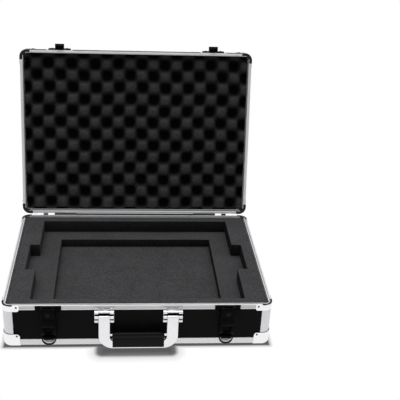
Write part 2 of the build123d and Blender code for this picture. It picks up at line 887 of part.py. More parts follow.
def latch_plate():
    """Pressed back plate: wide under the rim, narrow below."""
    wide = latch_plate_width / 2
    neck = latch_plate_neck / 2
    narrow = housing_width / 2
    taper = latch_neck_height - (neck - narrow)
    right = [
        (wide, base_height),
        (wide, latch_shoulder_height),
        (neck, latch_neck_height),
        (narrow, taper),
        (narrow, latch_plate_bottom),
    ]
    left = [(-x, z) for x, z in reversed(right)]
    plate = prism_y(right + left, front(latch_plate_thickness), front(0))
    pad = front_block(-narrow, narrow, -flange_thickness, 0, latch_plate_bottom, latch_neck_height)
    return plate + pad


def latch_housing():
    """Casting over the mechanism: a box with the catch slot, cheeks and the finger bowl."""
    half = housing_width / 2
    inside = half - housing_wall
    back = latch_plate_thickness
    box = front_block(-half, half, back, housing_depth, housing_bottom, base_height)
    front_edges = box.edges().filter_by(Axis.X).group_by(Axis.Y)[0]
    box = fillet(front_edges.sort_by(Axis.Z)[-1], housing_front_round)
    box -= front_block(
        -inside,
        inside,
        back,
        housing_depth - housing_wall,
        housing_bottom,
        base_height - housing_wall,
    )
    box -= front_block(-slot_width / 2, slot_width / 2, slot_near, slot_far, housing_bottom, base_height)
    box -= rod_y(0, key_height, key_radius + key_clearance, front(housing_depth), front(slot_far))
    lever_front = lever_pivot_depth + lever_barrel_radius
    profile = [
        (front(back), bowl_bottom),
        (front(bowl_depth - bowl_slope_height / 2), bowl_bottom),
        (front(bowl_depth), bowl_bottom + bowl_slope_height),
        (front(bowl_depth + bowl_flare), bay_bottom),
        (front(lever_front), lever_pivot_height - lever_barrel_radius),
        (front(lever_front), housing_bottom),
        (front(back), housing_bottom),
    ]
    lower = prism_x(profile, -half, half)
    lower -= front_block(-inside, inside, back, housing_depth, bay_bottom, housing_bottom)
    lower -= finger_recess()
    y = front(lever_pivot_depth)
    bore = lever_pin_radius + lever_pin_clearance
    lower -= flat_bar_x(y, lever_pivot_height, bore, bore_sides, -half, half, True)
    return box + lower


def finger_recess():
    """Cut for a fingertip below the lever, narrower and rounded at its lower end."""
    wide = recess_top_width / 2
    narrow = recess_bottom_width / 2
    outline = [
        (-wide, bay_bottom + recess_overcut),
        (-wide, bay_bottom - recess_floor),
        (-narrow, recess_bottom),
        (narrow, recess_bottom),
        (wide, bay_bottom - recess_floor),
        (wide, bay_bottom + recess_overcut),
    ]
    near = latch_plate_thickness + recess_floor
    cut = prism_y(outline, front(2 * housing_depth), front(near))
    low_edges = cut.edges().filter_by(Axis.Y).group_by(Axis.Z)[0]
    return fillet(low_edges, recess_round)


def latch_lever():
    """Hollow-backed lever: a barrel on the pivot pin, a cover plate with a lip, and webs."""
    half = housing_width / 2 - housing_wall - lever_side_clearance
    d = lever_pivot_depth
    z = lever_pivot_height
    low = bay_bottom + lever_end_clearance
    face = d + lever_barrel_radius
    lip = lever_lip_depth
    cover = [
        (front(face), z),
        (front(lip + lever_lip_bulge), low + lever_lip_height),
        (front(lip), low + lever_lip_bevel),
        (front(lip - lever_lip_bevel), low),
        (front(lip - lever_plate - lever_lip_foot), low),
        (front(lip - lever_plate + lever_back_step), low + lever_back_rise),
        (front(face - lever_plate), z),
    ]
    lever = prism_x(cover, -half, half)
    lever += flat_bar_x(front(d), z, lever_barrel_radius, lever_barrel_sides, -half, half)
    web = [
        (front(face - lever_web_inset), z),
        (front(lip - lever_web_inset), low + lever_web_foot),
        (front(lip - lever_web_reach), low + lever_web_foot),
        (front(d - lever_barrel_radius), z),
    ]
    lever += prism_x(web, -half, -half + lever_web)
    lever += prism_x(web, half - lever_web, half)
    pocket = spring_width / 2 + lever_side_clearance
    lever -= front_block(
        -pocket,
        pocket,
        0,
        d + spring_radius + spring_gap,
        z - 2 * spring_radius,
        z + 2 * lever_barrel_radius,
    )
    bore = lever_pin_radius + lever_pin_clearance
    return lever - flat_bar_x(front(d), z, bore, bore_sides, -half, half, True)


def latch_spring():
    """Torsion spring as a sleeve round the pivot pin."""
    half = spring_width / 2
    y = front(lever_pivot_depth)
    z = lever_pivot_height
    bore = lever_pin_radius + spring_gap
    sleeve = flat_bar_x(y, z, spring_radius, spring_sides, -half, half)
    return sleeve - flat_bar_x(y, z, bore, spring_sides, -half, half, True)


def latch_pawl():
    """Sliding pawl in the housing: a plate with the nose that holds the lid's hook."""
    half = housing_width / 2 - housing_wall - pawl_clearance
    low = housing_bottom + pawl_clearance
    high = base_height - housing_wall - pawl_clearance
    pawl = front_block(-half, half, pawl_near, pawl_far, low, high)
    nose = pawl_nose_width / 2
    return pawl + front_block(-nose, nose, pawl_far, pawl_nose_far, pawl_nose_bottom, pawl_nose_top)


def key_cylinder():
    """Lock plug with a collar behind the housing's front wall and a keyway in its face."""
    wall_back = housing_depth - housing_wall
    collar_far = wall_back - fastener_clearance
    face = housing_depth + key_proud
    plug = rod_y(0, key_height, key_radius, front(face), front(collar_far))
    collar = flat_bar(key_radius + key_collar, key_collar_sides, key_collar)
    plug += Pos(0, front(collar_far), key_height) * Rot(X=-90) * collar
    half = keyway_width / 2
    reach = keyway_length / 2
    return plug - front_block(
        -half, half, face - keyway_depth, face, key_height - reach, key_height + reach
    )


def lid_keeper():
    """Catch on the lid, drawn closed: plate, hood and the hooked tongue that enters the latch."""
    half = keeper_width / 2
    low = lid_bottom
    plate = front_block(-half, half, 0, keeper_thickness, low, low + keeper_height)
    plate = chamfer(plate.edges().filter_by(Axis.Y).group_by(Axis.Z)[-1], keeper_corner_bevel)
    plate = chamfer(plate.faces().sort_by(Axis.Y)[0].edges(), keeper_edge_bevel)
    pad_low = low + rim_height
    plate += front_block(
        -half + keeper_corner_bevel,
        half - keeper_corner_bevel,
        -flange_thickness,
        0,
        pad_low,
        low + keeper_height,
    )
    hood = hood_width / 2
    bar_near = tongue_plate_near
    frame = front_block(-hood, hood, 0, hood_depth, low, low + hood_height)
    frame_front = frame.edges().filter_by(Axis.X).group_by(Axis.Y)[0]
    frame = fillet(frame_front.sort_by(Axis.Z)[-1], hood_front_round)
    frame -= front_block(
        -hood + hood_wall, hood - hood_wall, keeper_thickness, bar_near, low, low + hood_height
    )
    wide = tongue_plate_width / 2
    tongue_far = bar_near + tongue_plate_thickness
    root = low + tongue_plate_root
    tongue = front_block(-wide, wide, bar_near, tongue_far, tongue_plate_bottom, root)
    hook = front_block(
        -wide, wide, hook_near, bar_near, tongue_plate_bottom, tongue_plate_bottom + hook_height
    )
    return plate + frame + tongue + hook


def write_latches():
    """Each latch and its catch; what moves is a node of its own on each side."""
    half = housing_width / 2
    pin = rod_x(front(lever_pivot_depth), lever_pivot_height, lever_pin_radius, -half, half)
    right = Pos(latch_x, 0, 0)
    sided = {
        "latch_plate": latch_plate(),
        "latch_housing": latch_housing(),
        "latch_lever": latch_lever(),
        "latch_pawl": latch_pawl(),
        "key_cylinder": key_cylinder(),
    }
    for name, shape in sided.items():
        write(f"{name}_left", [Pos(-latch_x, 0, 0) * shape], place_base)
        write(f"{name}_right", [right * shape], place_base)
    write("latch_pins", left_and_right(right * pin), place_base)
    write("latch_springs", left_and_right(right * latch_spring()), place_base)
    write("lid_keepers", left_and_right(right * lid_keeper()), place_lid)
    offset = latch_rivet_spacing / 2
    heads = []
    catch_heads = []
    for x in (latch_x - offset, latch_x + offset):
        heads += left_and_right(front_rivet(x, latch_rivet_height, latch_plate_thickness))
        catch_z = lid_bottom + keeper_height / 2
        catch_heads += left_and_right(front_rivet(x, catch_z, keeper_thickness))
    write("latch_rivets", heads, place_base)
    write("keeper_rivets", catch_heads, place_lid)


# Shoulder-strap rings


def strap_ring():
    """Closed wire D, centred on x = 0: a round bar above, straight sides, a half ring below."""
    radius = ring_width / 2 - ring_wire_radius
    y = front(ring_bar_depth)
    centre_z = ring_bar_height - ring_drop + ring_wire_radius + radius
    top = ring_bar_height + ring_wire_radius - centre_z
    bend = [
        (radius * math.cos(turn), 0, -radius * math.sin(turn))
        for turn in (math.pi * (step + 0.5) / ring_bend_steps for step in range(ring_bend_steps))
    ]
    path = Polyline((radius, 0, top), *bend, (-radius, 0, top))
    half_side = 180 / ring_wire_sides
    wire = RegularPolygon(ring_wire_radius, ring_wire_sides, rotation=half_side)
    section = Plane(origin=(radius, 0, top)) * wire
    loop = sweep(section, path=path, transition=Transition.RIGHT)
    bar = rod_x(0, ring_bar_height - centre_z, ring_wire_radius, -radius, radius)
    return Pos(0, y, centre_z) * (loop + bar)


def ring_clip():
    """Saddle that carries the ring's bar on the latch plate."""
    half = clip_width / 2
    low = ring_bar_height - clip_half_height
    high = ring_bar_height + clip_half_height
    clip = front_block(-half, half, latch_plate_thickness, clip_depth, low, high)
    clip = chamfer(clip.edges().filter_by(Axis.X).group_by(Axis.Y)[0], clip_bevel)
    bore = ring_wire_radius + clip_clearance
    y = front(ring_bar_depth)
    return clip - flat_bar_x(y, ring_bar_height, bore, bore_sides, -half, half, True)


def write_rings():
    """The two strap rings and their clips."""
    ring = strap_ring()
    write("strap_ring_left", [Pos(-latch_x, 0, 0) * ring], place_base)
    write("strap_ring_right", [Pos(latch_x, 0, 0) * ring], place_base)
    write("ring_clips", left_and_right(Pos(latch_x, 0, 0) * ring_clip()), place_base)


os.makedirs("parts", exist_ok=True)
write_tray("base", base_height, True, place_base)
write_tray("lid", lid_height, False, lambda shape: place_lid(turn_over(shape)))
write_feet()
write_base_foam()
write("lid_foam", [eggcrate_foam()], lambda shape: place_lid(turn_over(shape)))
write_hinges()
write_handle()
write_latches()
write_rings()
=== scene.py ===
"""Looks of a carrying case for a table-top controller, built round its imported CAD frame."""

import json
import math

import bmesh
import bpy
from mathutils import Matrix, Vector

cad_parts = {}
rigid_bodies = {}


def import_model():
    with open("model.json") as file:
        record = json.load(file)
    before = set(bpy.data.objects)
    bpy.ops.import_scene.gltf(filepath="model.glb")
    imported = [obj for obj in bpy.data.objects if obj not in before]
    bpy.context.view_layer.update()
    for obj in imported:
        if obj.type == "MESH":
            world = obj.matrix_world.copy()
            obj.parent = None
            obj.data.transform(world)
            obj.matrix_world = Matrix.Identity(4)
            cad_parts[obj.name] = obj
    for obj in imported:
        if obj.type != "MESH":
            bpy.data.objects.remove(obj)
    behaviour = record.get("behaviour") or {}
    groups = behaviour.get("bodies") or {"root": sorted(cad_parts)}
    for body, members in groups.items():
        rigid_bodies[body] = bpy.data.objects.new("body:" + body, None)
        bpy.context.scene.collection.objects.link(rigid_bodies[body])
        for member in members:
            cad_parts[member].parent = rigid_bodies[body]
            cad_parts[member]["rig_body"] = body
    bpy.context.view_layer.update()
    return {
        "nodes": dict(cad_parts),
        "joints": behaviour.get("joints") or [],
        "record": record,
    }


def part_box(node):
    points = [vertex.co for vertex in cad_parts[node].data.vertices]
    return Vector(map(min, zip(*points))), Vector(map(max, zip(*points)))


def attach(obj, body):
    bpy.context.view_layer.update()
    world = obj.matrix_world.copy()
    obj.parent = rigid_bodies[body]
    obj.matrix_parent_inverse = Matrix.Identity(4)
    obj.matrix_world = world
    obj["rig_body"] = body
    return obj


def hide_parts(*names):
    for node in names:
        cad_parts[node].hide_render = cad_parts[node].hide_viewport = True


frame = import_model()
scene = bpy.context.scene

# Grey level of the light that falls on the case from all round
PLAIN_LIGHT = 0.42

# Sizes of the case that the pieces below share with the frame, in metres
STAND = 0.0025
HALF_WIDTH = 0.230
HALF_DEPTH = 0.165
BASE_HEIGHT = 0.082
LID_HEIGHT = 0.046
PARTING_GAP = 0.0004
CORNER_RADIUS = 0.014
EDGE_RADIUS = 0.004
WALL = 0.007
RIM_HEIGHT = 0.0088
PANEL_BACK = 0.0057
HALF_SIZES = (HALF_WIDTH, HALF_DEPTH)

# Sizes of the trim and pressings, in metres
SHELL_GAP = 0.00002
CAP_THICKNESS = 0.0010
CAP_REACH = 0.0283
CAP_TOP = 0.024
CASTING_THICKNESS = 0.0008
GROOVE_NEAR = 0.0023
GROOVE_FAR = 0.0047
BEAD_OUT = 0.0008
BEAD_RISE = 0.00014
TRIM_SINK = 0.00003
BRACKET_PLATE = 0.002
RIDGE_DEPTH = 0.0105

joints = {joint["name"]: joint for joint in frame["joints"]}
HINGE = Vector(joints["lid_hinge"]["pos_m"])
LID_ANGLE = math.radians(joints["lid_hinge"]["range_deg"][1])


def turn_about(point, angle, axis):
    """A turn about an axis through a point."""
    return Matrix.Translation(point) @ Matrix.Rotation(angle, 4, axis) @ Matrix.Translation(-point)


BASE_PLACE = Matrix.Translation((0, 0, STAND))
LID_TOP = BASE_HEIGHT + PARTING_GAP + LID_HEIGHT + STAND
LID_SWING = turn_about(HINGE, -LID_ANGLE, "X")
LID_PLACE = LID_SWING @ Matrix.Translation((0, 0, LID_TOP)) @ Matrix.Rotation(math.pi, 4, "Y")


# Materials


class Shader:
    """A material's node tree, with short calls for the nodes that the materials share."""

    def __init__(self, name):
        self.material = bpy.data.materials.new(name)
        self.material.use_nodes = True
        self.tree = self.material.node_tree
        self.bsdf = self.tree.nodes["Principled BSDF"]
        place = self.node("ShaderNodeTexCoord")
        self.place = place.outputs["Object"]

    def node(self, kind, **values):
        """A new node with some of its settings."""
        made = self.tree.nodes.new(kind)
        for key, value in values.items():
            setattr(made, key, value)
        return made

    def link(self, output, socket):
        self.tree.links.new(output, socket)

    def set(self, **values):
        """Sets the shader's own sockets, written with underscores for spaces."""
        for key, value in values.items():
            self.bsdf.inputs[key.replace("_", " ")].default_value = value

    def stretched(self, scale):
        """The place on the object, stretched along each axis."""
        mapping = self.node("ShaderNodeMapping")
        mapping.inputs["Scale"].default_value = scale
        self.link(self.place, mapping.inputs["Vector"])
        return mapping.outputs["Vector"]

    def noise(self, scale, detail=2.0, vector=None, roughness=0.5):
        """A soft random pattern between 0 and 1."""
        made = self.node("ShaderNodeTexNoise")
        made.inputs["Scale"].default_value = scale
        made.inputs["Detail"].default_value = detail
        made.inputs["Roughness"].default_value = roughness
        self.link(vector or self.place, made.inputs["Vector"])
        return made.outputs["Fac"]

    def cells(self, scale):
        """A pattern of small cells."""
        made = self.node("ShaderNodeTexVoronoi")
        made.inputs["Scale"].default_value = scale
        self.link(self.place, made.inputs["Vector"])
        return made.outputs["Distance"]

    def ramp(self, source, low, high, from_low=0.0, from_high=1.0):
        """A number from one range, moved to another."""
        made = self.node("ShaderNodeMapRange")
        ends = {"From Min": from_low, "From Max": from_high, "To Min": low, "To Max": high}
        for key, value in ends.items():
            made.inputs[key].default_value = value
        self.link(source, made.inputs["Value"])
        return made.outputs["Result"]

    def colours(self, source, *stops):
        """A colour ramp: stops are (place, grey level)."""
        made = self.node("ShaderNodeValToRGB")
        fill_ramp(made.color_ramp, [(place, grey(colour)) for place, colour in stops])
        self.link(source, made.inputs["Fac"])
        return made.outputs["Color"]

    def spread(self, noise, low, high):
        """The middle range of a noise, moved to another range."""
        return self.ramp(noise, low, high, 0.3, 0.7)

    def multiply(self, colour, tone):
        """One colour times another."""
        mix = self.node("ShaderNodeMix", data_type="RGBA", blend_type="MULTIPLY")
        mix.inputs["Factor"].default_value = 1.0
        self.link(colour, mix.inputs["A"])
        self.link(tone, mix.inputs["B"])
        return mix.outputs["Result"]

    def attribute(self, name):
        """A number that the mesh carries."""
        return self.node("ShaderNodeAttribute", attribute_name=name).outputs["Fac"]

    def maths(self, operation, first, second):
        """Two numbers put through a maths node."""
        made = self.node("ShaderNodeMath", operation=operation)
        self.link(first, made.inputs[0])
        self.link(second, made.inputs[1])
        return made.outputs["Value"]

    def vector_maths(self, operation, vector, constant=None, output="Vector"):
        """A vector, and a constant where there is one, put through a vector maths node."""
        made = self.node("ShaderNodeVectorMath", operation=operation)
        self.link(vector, made.inputs[0])
        if constant is not None:
            made.inputs[1].default_value = constant
        return made.outputs[output]

    def rounded_normal(self, radius):
        """The surface's direction with its edges rounded."""
        bevel = self.node("ShaderNodeBevel", samples=4)
        bevel.inputs["Radius"].default_value = radius
        return bevel.outputs["Normal"]

    def bumps(self, *layers, edge=0.0):
        """Bump layers, each (height, distance in metres, strength), over softened edges."""
        normal = self.rounded_normal(edge) if edge else None
        for height, distance, strength in layers:
            bump = self.node("ShaderNodeBump")
            bump.inputs["Distance"].default_value = distance
            bump.inputs["Strength"].default_value = strength
            self.link(height, bump.inputs["Height"])
            if normal:
                self.link(normal, bump.inputs["Normal"])
            normal = bump.outputs["Normal"]
        self.link(normal, self.bsdf.inputs["Normal"])

    def edge_mask(self, radius):
        """Near 1 at sharp edges and 0 on flat faces."""
        geometry = self.node("ShaderNodeNewGeometry")
        dot = self.node("ShaderNodeVectorMath", operation="DOT_PRODUCT")
        self.link(self.rounded_normal(radius), dot.inputs[0])
        self.link(geometry.outputs["Normal"], dot.inputs[1])
        return self.ramp(dot.outputs["Value"], 1.0, 0.0, 0.80, 0.99)


def grey(value):
    """A colour from one grey level, or the colour itself."""
    return (value, value, value * 1.01) if isinstance(value, (int, float)) else tuple(value)


def fill_ramp(band, stops):
    """Puts (place, colour) stops on a colour ramp."""
    while len(band.elements) < len(stops):
        band.elements.new(0.5)
    for element, (place, colour) in zip(band.elements, stops):
        element.position = place
        element.color = (*colour, 1.0)


def blend_colours(tree, factor, first, second):
    """Mixes two colours or sockets by a factor."""
    mix = tree.nodes.new("ShaderNodeMix")
    mix.data_type = "RGBA"
    tree.links.new(factor, mix.inputs["Factor"])
    for socket, value in ((mix.inputs["A"], first), (mix.inputs["B"], second)):
        if isinstance(value, bpy.types.NodeSocket):
            tree.links.new(value, socket)
        else:
            socket.default_value = (*grey(value), 1.0)
    return mix.outputs["Result"]


def foam_material(name, dark, light, cell_scale, hollow):
    """Open-cell foam: matte and speckled; cut walls and pits are painted darker than the skin, as painted
    shade.

    The mesh attribute "skin" is 1 on the lit outer skin and 0 on a shaded cut wall or in a pit. There the
    colour is painted down to the share "hollow" of the skin's: painted shade, with painted light on walls
    marked lit.
    """
    shader = Shader(name)
    grain = shader.noise(cell_scale, 4.0, roughness=0.75)
    specks = shader.noise(330.0, 4.0, roughness=0.8)
    patches = shader.noise(28.0, 3.0)
    mottled = shader.colours(specks, (0.36, 0.50), (0.64, 1.0))
    shade = shader.colours(patches, (0.35, 0.86), (0.65, 1.0))
    # Painted shade: the colour drops to the share "hollow" in pits and on cut walls; walls marked lit keep
    # more of it, as painted light.
    depth = shader.colours(shader.attribute("skin"), (0.0, hollow), (1.0, 1.0))
    colour = shader.colours(grain, (0.30, dark), (0.70, light))
    for layer in (mottled, shade, depth):
        colour = shader.multiply(colour, layer)
    shader.link(colour, shader.bsdf.inputs["Base Color"])
    cells = shader.cells(cell_scale * 1.4)
    shader.bumps((specks, 0.0014, 0.6), (cells, 0.0004, 0.6), (grain, 0.0005, 0.5))
    shader.set(Roughness=0.95, Specular_IOR_Level=0.06)
    return shader.material


def shaded(shader, colour, share):
    """Painted shade: a colour that drops to a share of itself on faces marked by the mesh attribute "shade".
    """
    return shader.multiply(colour, shader.colours(shader.attribute("shade"), (0.0, 1.0), (1.0, share)))


def set_shade(mesh, is_marked):
    """Marks the faces that pass a test of middle and normal, for painted shade in grooves, bands and valleys
    and under edges.
    """
    layer = mesh.attributes.new("shade", "FLOAT", "FACE")
    marks = [1.0 if is_marked(face.center, face.normal) else 0.0 for face in mesh.polygons]
    layer.data.foreach_set("value", marks)


def set_painted_light(mesh, painted_light_amounts):
    """Writes how much of each point is painted as lit skin rather than shade, for the foam materials'
    painted light and shade.
    """
    layer = mesh.attributes.new("skin", "FLOAT", "POINT")
    layer.data.foreach_set("value", painted_light_amounts)


def laminate_material():
    """Black laminate with a fine pressed grain and a dull shine."""
    shader = Shader("black_laminate")
    pebble = shader.cells(620.0)
    cloud = shader.noise(55.0, 3.0)
    shader.link(shader.colours(cloud, (0.3, 0.0042), (0.7, 0.0062)), shader.bsdf.inputs["Base Color"])
    shader.link(shader.spread(cloud, 0.42, 0.56), shader.bsdf.inputs["Roughness"])
    shader.bumps((pebble, 0.0002, 0.35), edge=0.0003)
    shader.set(Specular_IOR_Level=0.06)
    return shader.material


def aluminium_material():
    """Satin extrusions: fine lines along the length, soft stains and brighter edges, with painted shade on
    the rims' front band and groove.
    """
    shader = Shader("satin_aluminium")
    lines = shader.noise(1.0, 4.0, shader.stretched((14.0, 14.0, 2600.0)), 0.6)
    across = shader.noise(1.0, 4.0, shader.stretched((14.0, 2600.0, 14.0)), 0.6)
    stains = shader.noise(16.0, 3.0)
    base = shader.colours(stains, (0.3, 0.91), (0.7, 0.97))
    wear_and_sheen = blend_colours(shader.tree, shader.edge_mask(0.0005), base, 0.98)
    # Painted shade: faces marked "shade" drop to 0.76 of the colour.
    shader.link(shaded(shader, wear_and_sheen, 0.76), shader.bsdf.inputs["Base Color"])
    shader.link(shader.spread(lines, 0.30, 0.46), shader.bsdf.inputs["Roughness"])
    shader.bumps((lines, 0.00004, 0.35), (across, 0.00004, 0.25), edge=0.0004)
    shader.set(Metallic=0.58)
    return shader.material


def chrome_material(name, level, roughness, edge):
    """Plated or polished metal with faint handling marks, and painted shade on faces marked "shade"."""
    shader = Shader(name)
    marks = shader.noise(90.0, 5.0, roughness=0.65)
    smears = shader.noise(18.0, 3.0)
    plate = shader.colours(smears, (0.3, level * 0.93), (0.7, level))
    # Painted shade: faces marked "shade" drop to 0.03 of the colour.
    shader.link(shaded(shader, plate, 0.03), shader.bsdf.inputs["Base Color"])
    shader.link(shader.spread(marks, roughness * 0.7, roughness * 1.5), shader.bsdf.inputs["Roughness"])
    shader.bumps((smears, 0.0002, 0.10), (marks, 0.00003, 0.15), edge=edge)
    shader.set(Metallic=1.0)
    return shader.material


def painted_material(name, level, roughness, specular, rubbed_edge_and_highlight):
    """Black paint on metal or moulded plastic, with orange peel and lighter edges: rubbed paint, and on the
    latches also a painted highlight.
    """
    shader = Shader(name)
    peel = shader.noise(420.0, 2.0)
    dust = shader.noise(60.0, 4.0)
    base = shader.colours(dust, (0.35, level * 0.85), (0.65, level * 1.2))
    wear_and_sheen = blend_colours(shader.tree, shader.edge_mask(0.0006), base, rubbed_edge_and_highlight)
    shader.link(wear_and_sheen, shader.bsdf.inputs["Base Color"])
    shader.link(shader.spread(dust, roughness * 0.85, roughness * 1.2), shader.bsdf.inputs["Roughness"])
    shader.bumps((peel, 0.00006, 0.3), edge=0.0005)
    shader.set(Specular_IOR_Level=specular)
    return shader.material


def rubber_material():
    """Dull black rubber with a fine grain."""
    shader = Shader("black_rubber")
    grain = shader.noise(900.0, 3.0)
    shader.link(shader.colours(grain, (0.3, 0.016), (0.7, 0.028)), shader.bsdf.inputs["Base Color"])
    shader.bumps((grain, 0.0001, 0.4), edge=0.0005)
    shader.set(Roughness=0.8, Specular_IOR_Level=0.25)
    return shader.material


MATERIALS = {
    "black_laminate": laminate_material(),
    # Each foam's last number is the share of its colour kept in painted shade.
    "eggcrate_foam": foam_material("eggcrate_foam", 0.044, 0.100, 850.0, 0.05),
    "charcoal_foam": foam_material("charcoal_foam", 0.062, 0.135, 760.0, 0.22),
    "satin_aluminium": aluminium_material(),
    "chrome_corners": chrome_material("chrome_corners", 0.93, 0.13, 0.0006),
    "rivet_steel": chrome_material("rivet_steel", 0.10, 0.25, 0.0002),
    "black_rubber": rubber_material(),
    # The hinge steel's very dark colour is painted shade for the gap along the hinge.
    "hinge_steel": chrome_material("hinge_steel", 0.05, 0.45, 0.0004),
    "handle_metal": chrome_material("handle_metal", 0.90, 0.30, 0.0007),
    "handle_chrome": chrome_material("handle_chrome", 0.85, 0.12, 0.0006),
    "grip_plastic": painted_material("grip_plastic", 0.0025, 0.30, 0.12, 0.005),
    "ring_wire": painted_material("ring_wire", 0.002, 0.25, 0.16, 0.004),
    "key_metal": painted_material("key_metal", 0.004, 0.30, 0.12, 0.012),
    "plain_steel": chrome_material("plain_steel", 0.50, 0.30, 0.0003),
    # The latches' edge level paints a highlight along their edges as well as wear.
    "latch_black": painted_material("latch_black", 0.0010, 0.34, 0.04, 0.02),
}
SLOT_OF = {part["node"]: part["material_slot"] for part in frame["record"]["subparts"]}


# Making pieces


def make_piece(name, bm, slot, body, nodes=(), smooth_angle=math.radians(40)):
    """A finished piece that moves with a body and stands for CAD nodes, or for none if it is thin trim."""
    mesh = mesh_from(name, bm)
    piece = bpy.data.objects.new(name, mesh)
    scene.collection.objects.link(piece)
    mesh.materials.append(MATERIALS[slot])
    for face in mesh.polygons:
        face.use_smooth = True
    mesh.set_sharp_from_angle(angle=smooth_angle)
    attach(piece, body)
    if nodes:
        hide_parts(*nodes)
    return piece


def mesh_from(name, bm):
    """Closes a bmesh into a mesh with outward faces."""
    bmesh.ops.remove_doubles(bm, verts=bm.verts, dist=1e-7)
    bmesh.ops.recalc_face_normals(bm, faces=bm.faces)
    mesh = bpy.data.meshes.new(name)
    bm.to_mesh(mesh)
    bm.free()
    return mesh


def bridge(bm, first, second, is_closed=True):
    """Faces between two rows of points, round to the start again where the rows are closed."""
    for index in range(len(first) if is_closed else len(first) - 1):
        after = (index + 1) % len(first)
        bm.faces.new([first[index], first[after], second[after], second[index]])


def loft(bm, sections, place):
    """A solid through closed sections of points, with flat ends."""
    rows = [[bm.verts.new(place @ Vector(point)) for point in section] for section in sections]
    for first, second in zip(rows, rows[1:]):
        bridge(bm, first, second)
    bm.faces.new(rows[0])
    bm.faces.new(rows[-1])


def hoop(bm, rows):
    """A closed hoop through closed rows of points."""
    for first, second in zip(rows, rows[1:] + rows[:1]):
        bridge(bm, first, second)


def add_box(bm, low, high, place):
    """A placed bar between two corners."""
    outline = [(low[1], low[2]), (high[1], low[2]), (high[1], high[2]), (low[1], high[2])]
    loft(bm, [[(x, y, z) for y, z in outline] for x in (low[0], high[0])], place)


def dressed_copy(node, width, segments=2, add=None):
    """A copy of a CAD node whose sharp edges are rounded, to stand in its place; "add" adds to it."""
    sharp_angle = math.radians(35)
    source = frame["nodes"][node]
    bm = bmesh.new()
    bm.from_mesh(source.data)
    bmesh.ops.remove_doubles(bm, verts=bm.verts, dist=2e-6)
    bmesh.ops.dissolve_limit(bm, angle_limit=math.radians(0.5), verts=bm.verts, edges=bm.edges)
    edges = [edge for edge in bm.edges if edge.is_manifold and edge.calc_face_angle(0.0) > sharp_angle]
    bmesh.ops.bevel(
        bm,
        geom=edges,
        offset=width,
        offset_type="OFFSET",
        segments=segments,
        profile=0.5,
        affect="EDGES",
        clamp_overlap=True,
    )
    if add:
        add(bm)
    make_piece(f"{node}_dressed", bm, SLOT_OF[node], source["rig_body"], [node], sharp_angle)


def solids_of(node, to_local):
    """The lowest and highest corner of each solid of a node, in a tray's own frame."""
    bm = bmesh.new()
    bm.from_mesh(frame["nodes"][node].data)
    bmesh.ops.remove_doubles(bm, verts=bm.verts, dist=2e-6)
    left = set(bm.verts)
    boxes = []
    while left:
        group = {left.pop()}
        front = list(group)
        while front:
            vert = front.pop()
            for edge in vert.link_edges:
                other = edge.other_vert(vert)
                if other in left:
                    left.discard(other)
                    group.add(other)
                    front.append(other)
        points = [to_local @ vert.co for vert in group]
        low = Vector([min(point[axis] for point in points) for axis in range(3)])
        high = Vector([max(point[axis] for point in points) for axis in range(3)])
        boxes.append((low, high))
    bm.free()
    return sorted(boxes, key=lambda box: tuple(round(value, 5) for value in box[0]))


def lathe(bm, profile, place, steps=28):
    """Turns (radius, height) points about Z; a radius of 0 closes an end."""
    rings = []
    for radius, height in profile:
        turns = [2 * math.pi * step / steps for step in range(steps if radius else 1)]
        points = [Vector((radius * math.cos(turn), radius * math.sin(turn), height)) for turn in turns]
        rings.append([bm.verts.new(place @ point) for point in points])
    for low, high in zip(rings, rings[1:]):
        if len(low) == len(high):
            bridge(bm, low, high)
            continue
        pole, ring = (low[0], high) if len(low) == 1 else (high[0], low)
        for index in range(steps):
            bm.faces.new([ring[index], ring[(index + 1) % steps], pole])


def arc(centre, radius, start, end, steps):
    """Points on an arc in a plane, from one angle in degrees to another."""
    turns = [math.radians(start + (end - start) * step / steps) for step in range(steps + 1)]
    return [(centre[0] + radius * math.cos(turn), centre[1] + radius * math.sin(turn)) for turn in turns]


# Camera, light and floor


def add_camera():
    """The photograph's viewpoint, from a fit to the case's straight edges."""
    yaw = math.radians(4.725)
    pitch = math.radians(26.355)
    roll = math.radians(2.388)
    focal_px = 771.1
    centre_px = 176.0
    picture_px = 400.0
    place = (-0.0343, -1.2545, 0.8229 + STAND)
    forward = Vector((math.sin(yaw) * math.cos(pitch), math.cos(yaw) * math.cos(pitch), -math.sin(pitch)))
    right = Vector((math.cos(yaw), -math.sin(yaw), 0))
    up = right.cross(forward)
    turned_right = math.cos(roll) * right + math.sin(roll) * up
    turned_up = -math.sin(roll) * right + math.cos(roll) * up
    data = bpy.data.cameras.new("camera")
    data.sensor_width = 36.0
    data.sensor_fit = "HORIZONTAL"
    data.lens = focal_px / picture_px * data.sensor_width
    data.shift_x = (picture_px / 2 - centre_px) / picture_px
    camera = bpy.data.objects.new("camera", data)
    scene.collection.objects.link(camera)
    turn = Matrix((turned_right, turned_up, -forward)).transposed().to_4x4()
    camera.matrix_world = Matrix.Translation(place) @ turn
    scene.camera = camera


def add_area(name, place, target, size, power):
    """A soft box that faces a point."""
    data = bpy.data.lights.new(name, "AREA")
    data.shape = "RECTANGLE"
    data.size, data.size_y = size
    data.energy = power
    lamp = bpy.data.objects.new(name, data)
    scene.collection.objects.link(lamp)
    lamp.location = place
    lamp.rotation_euler = (Vector(target) - Vector(place)).to_track_quat("-Z", "Y").to_euler()


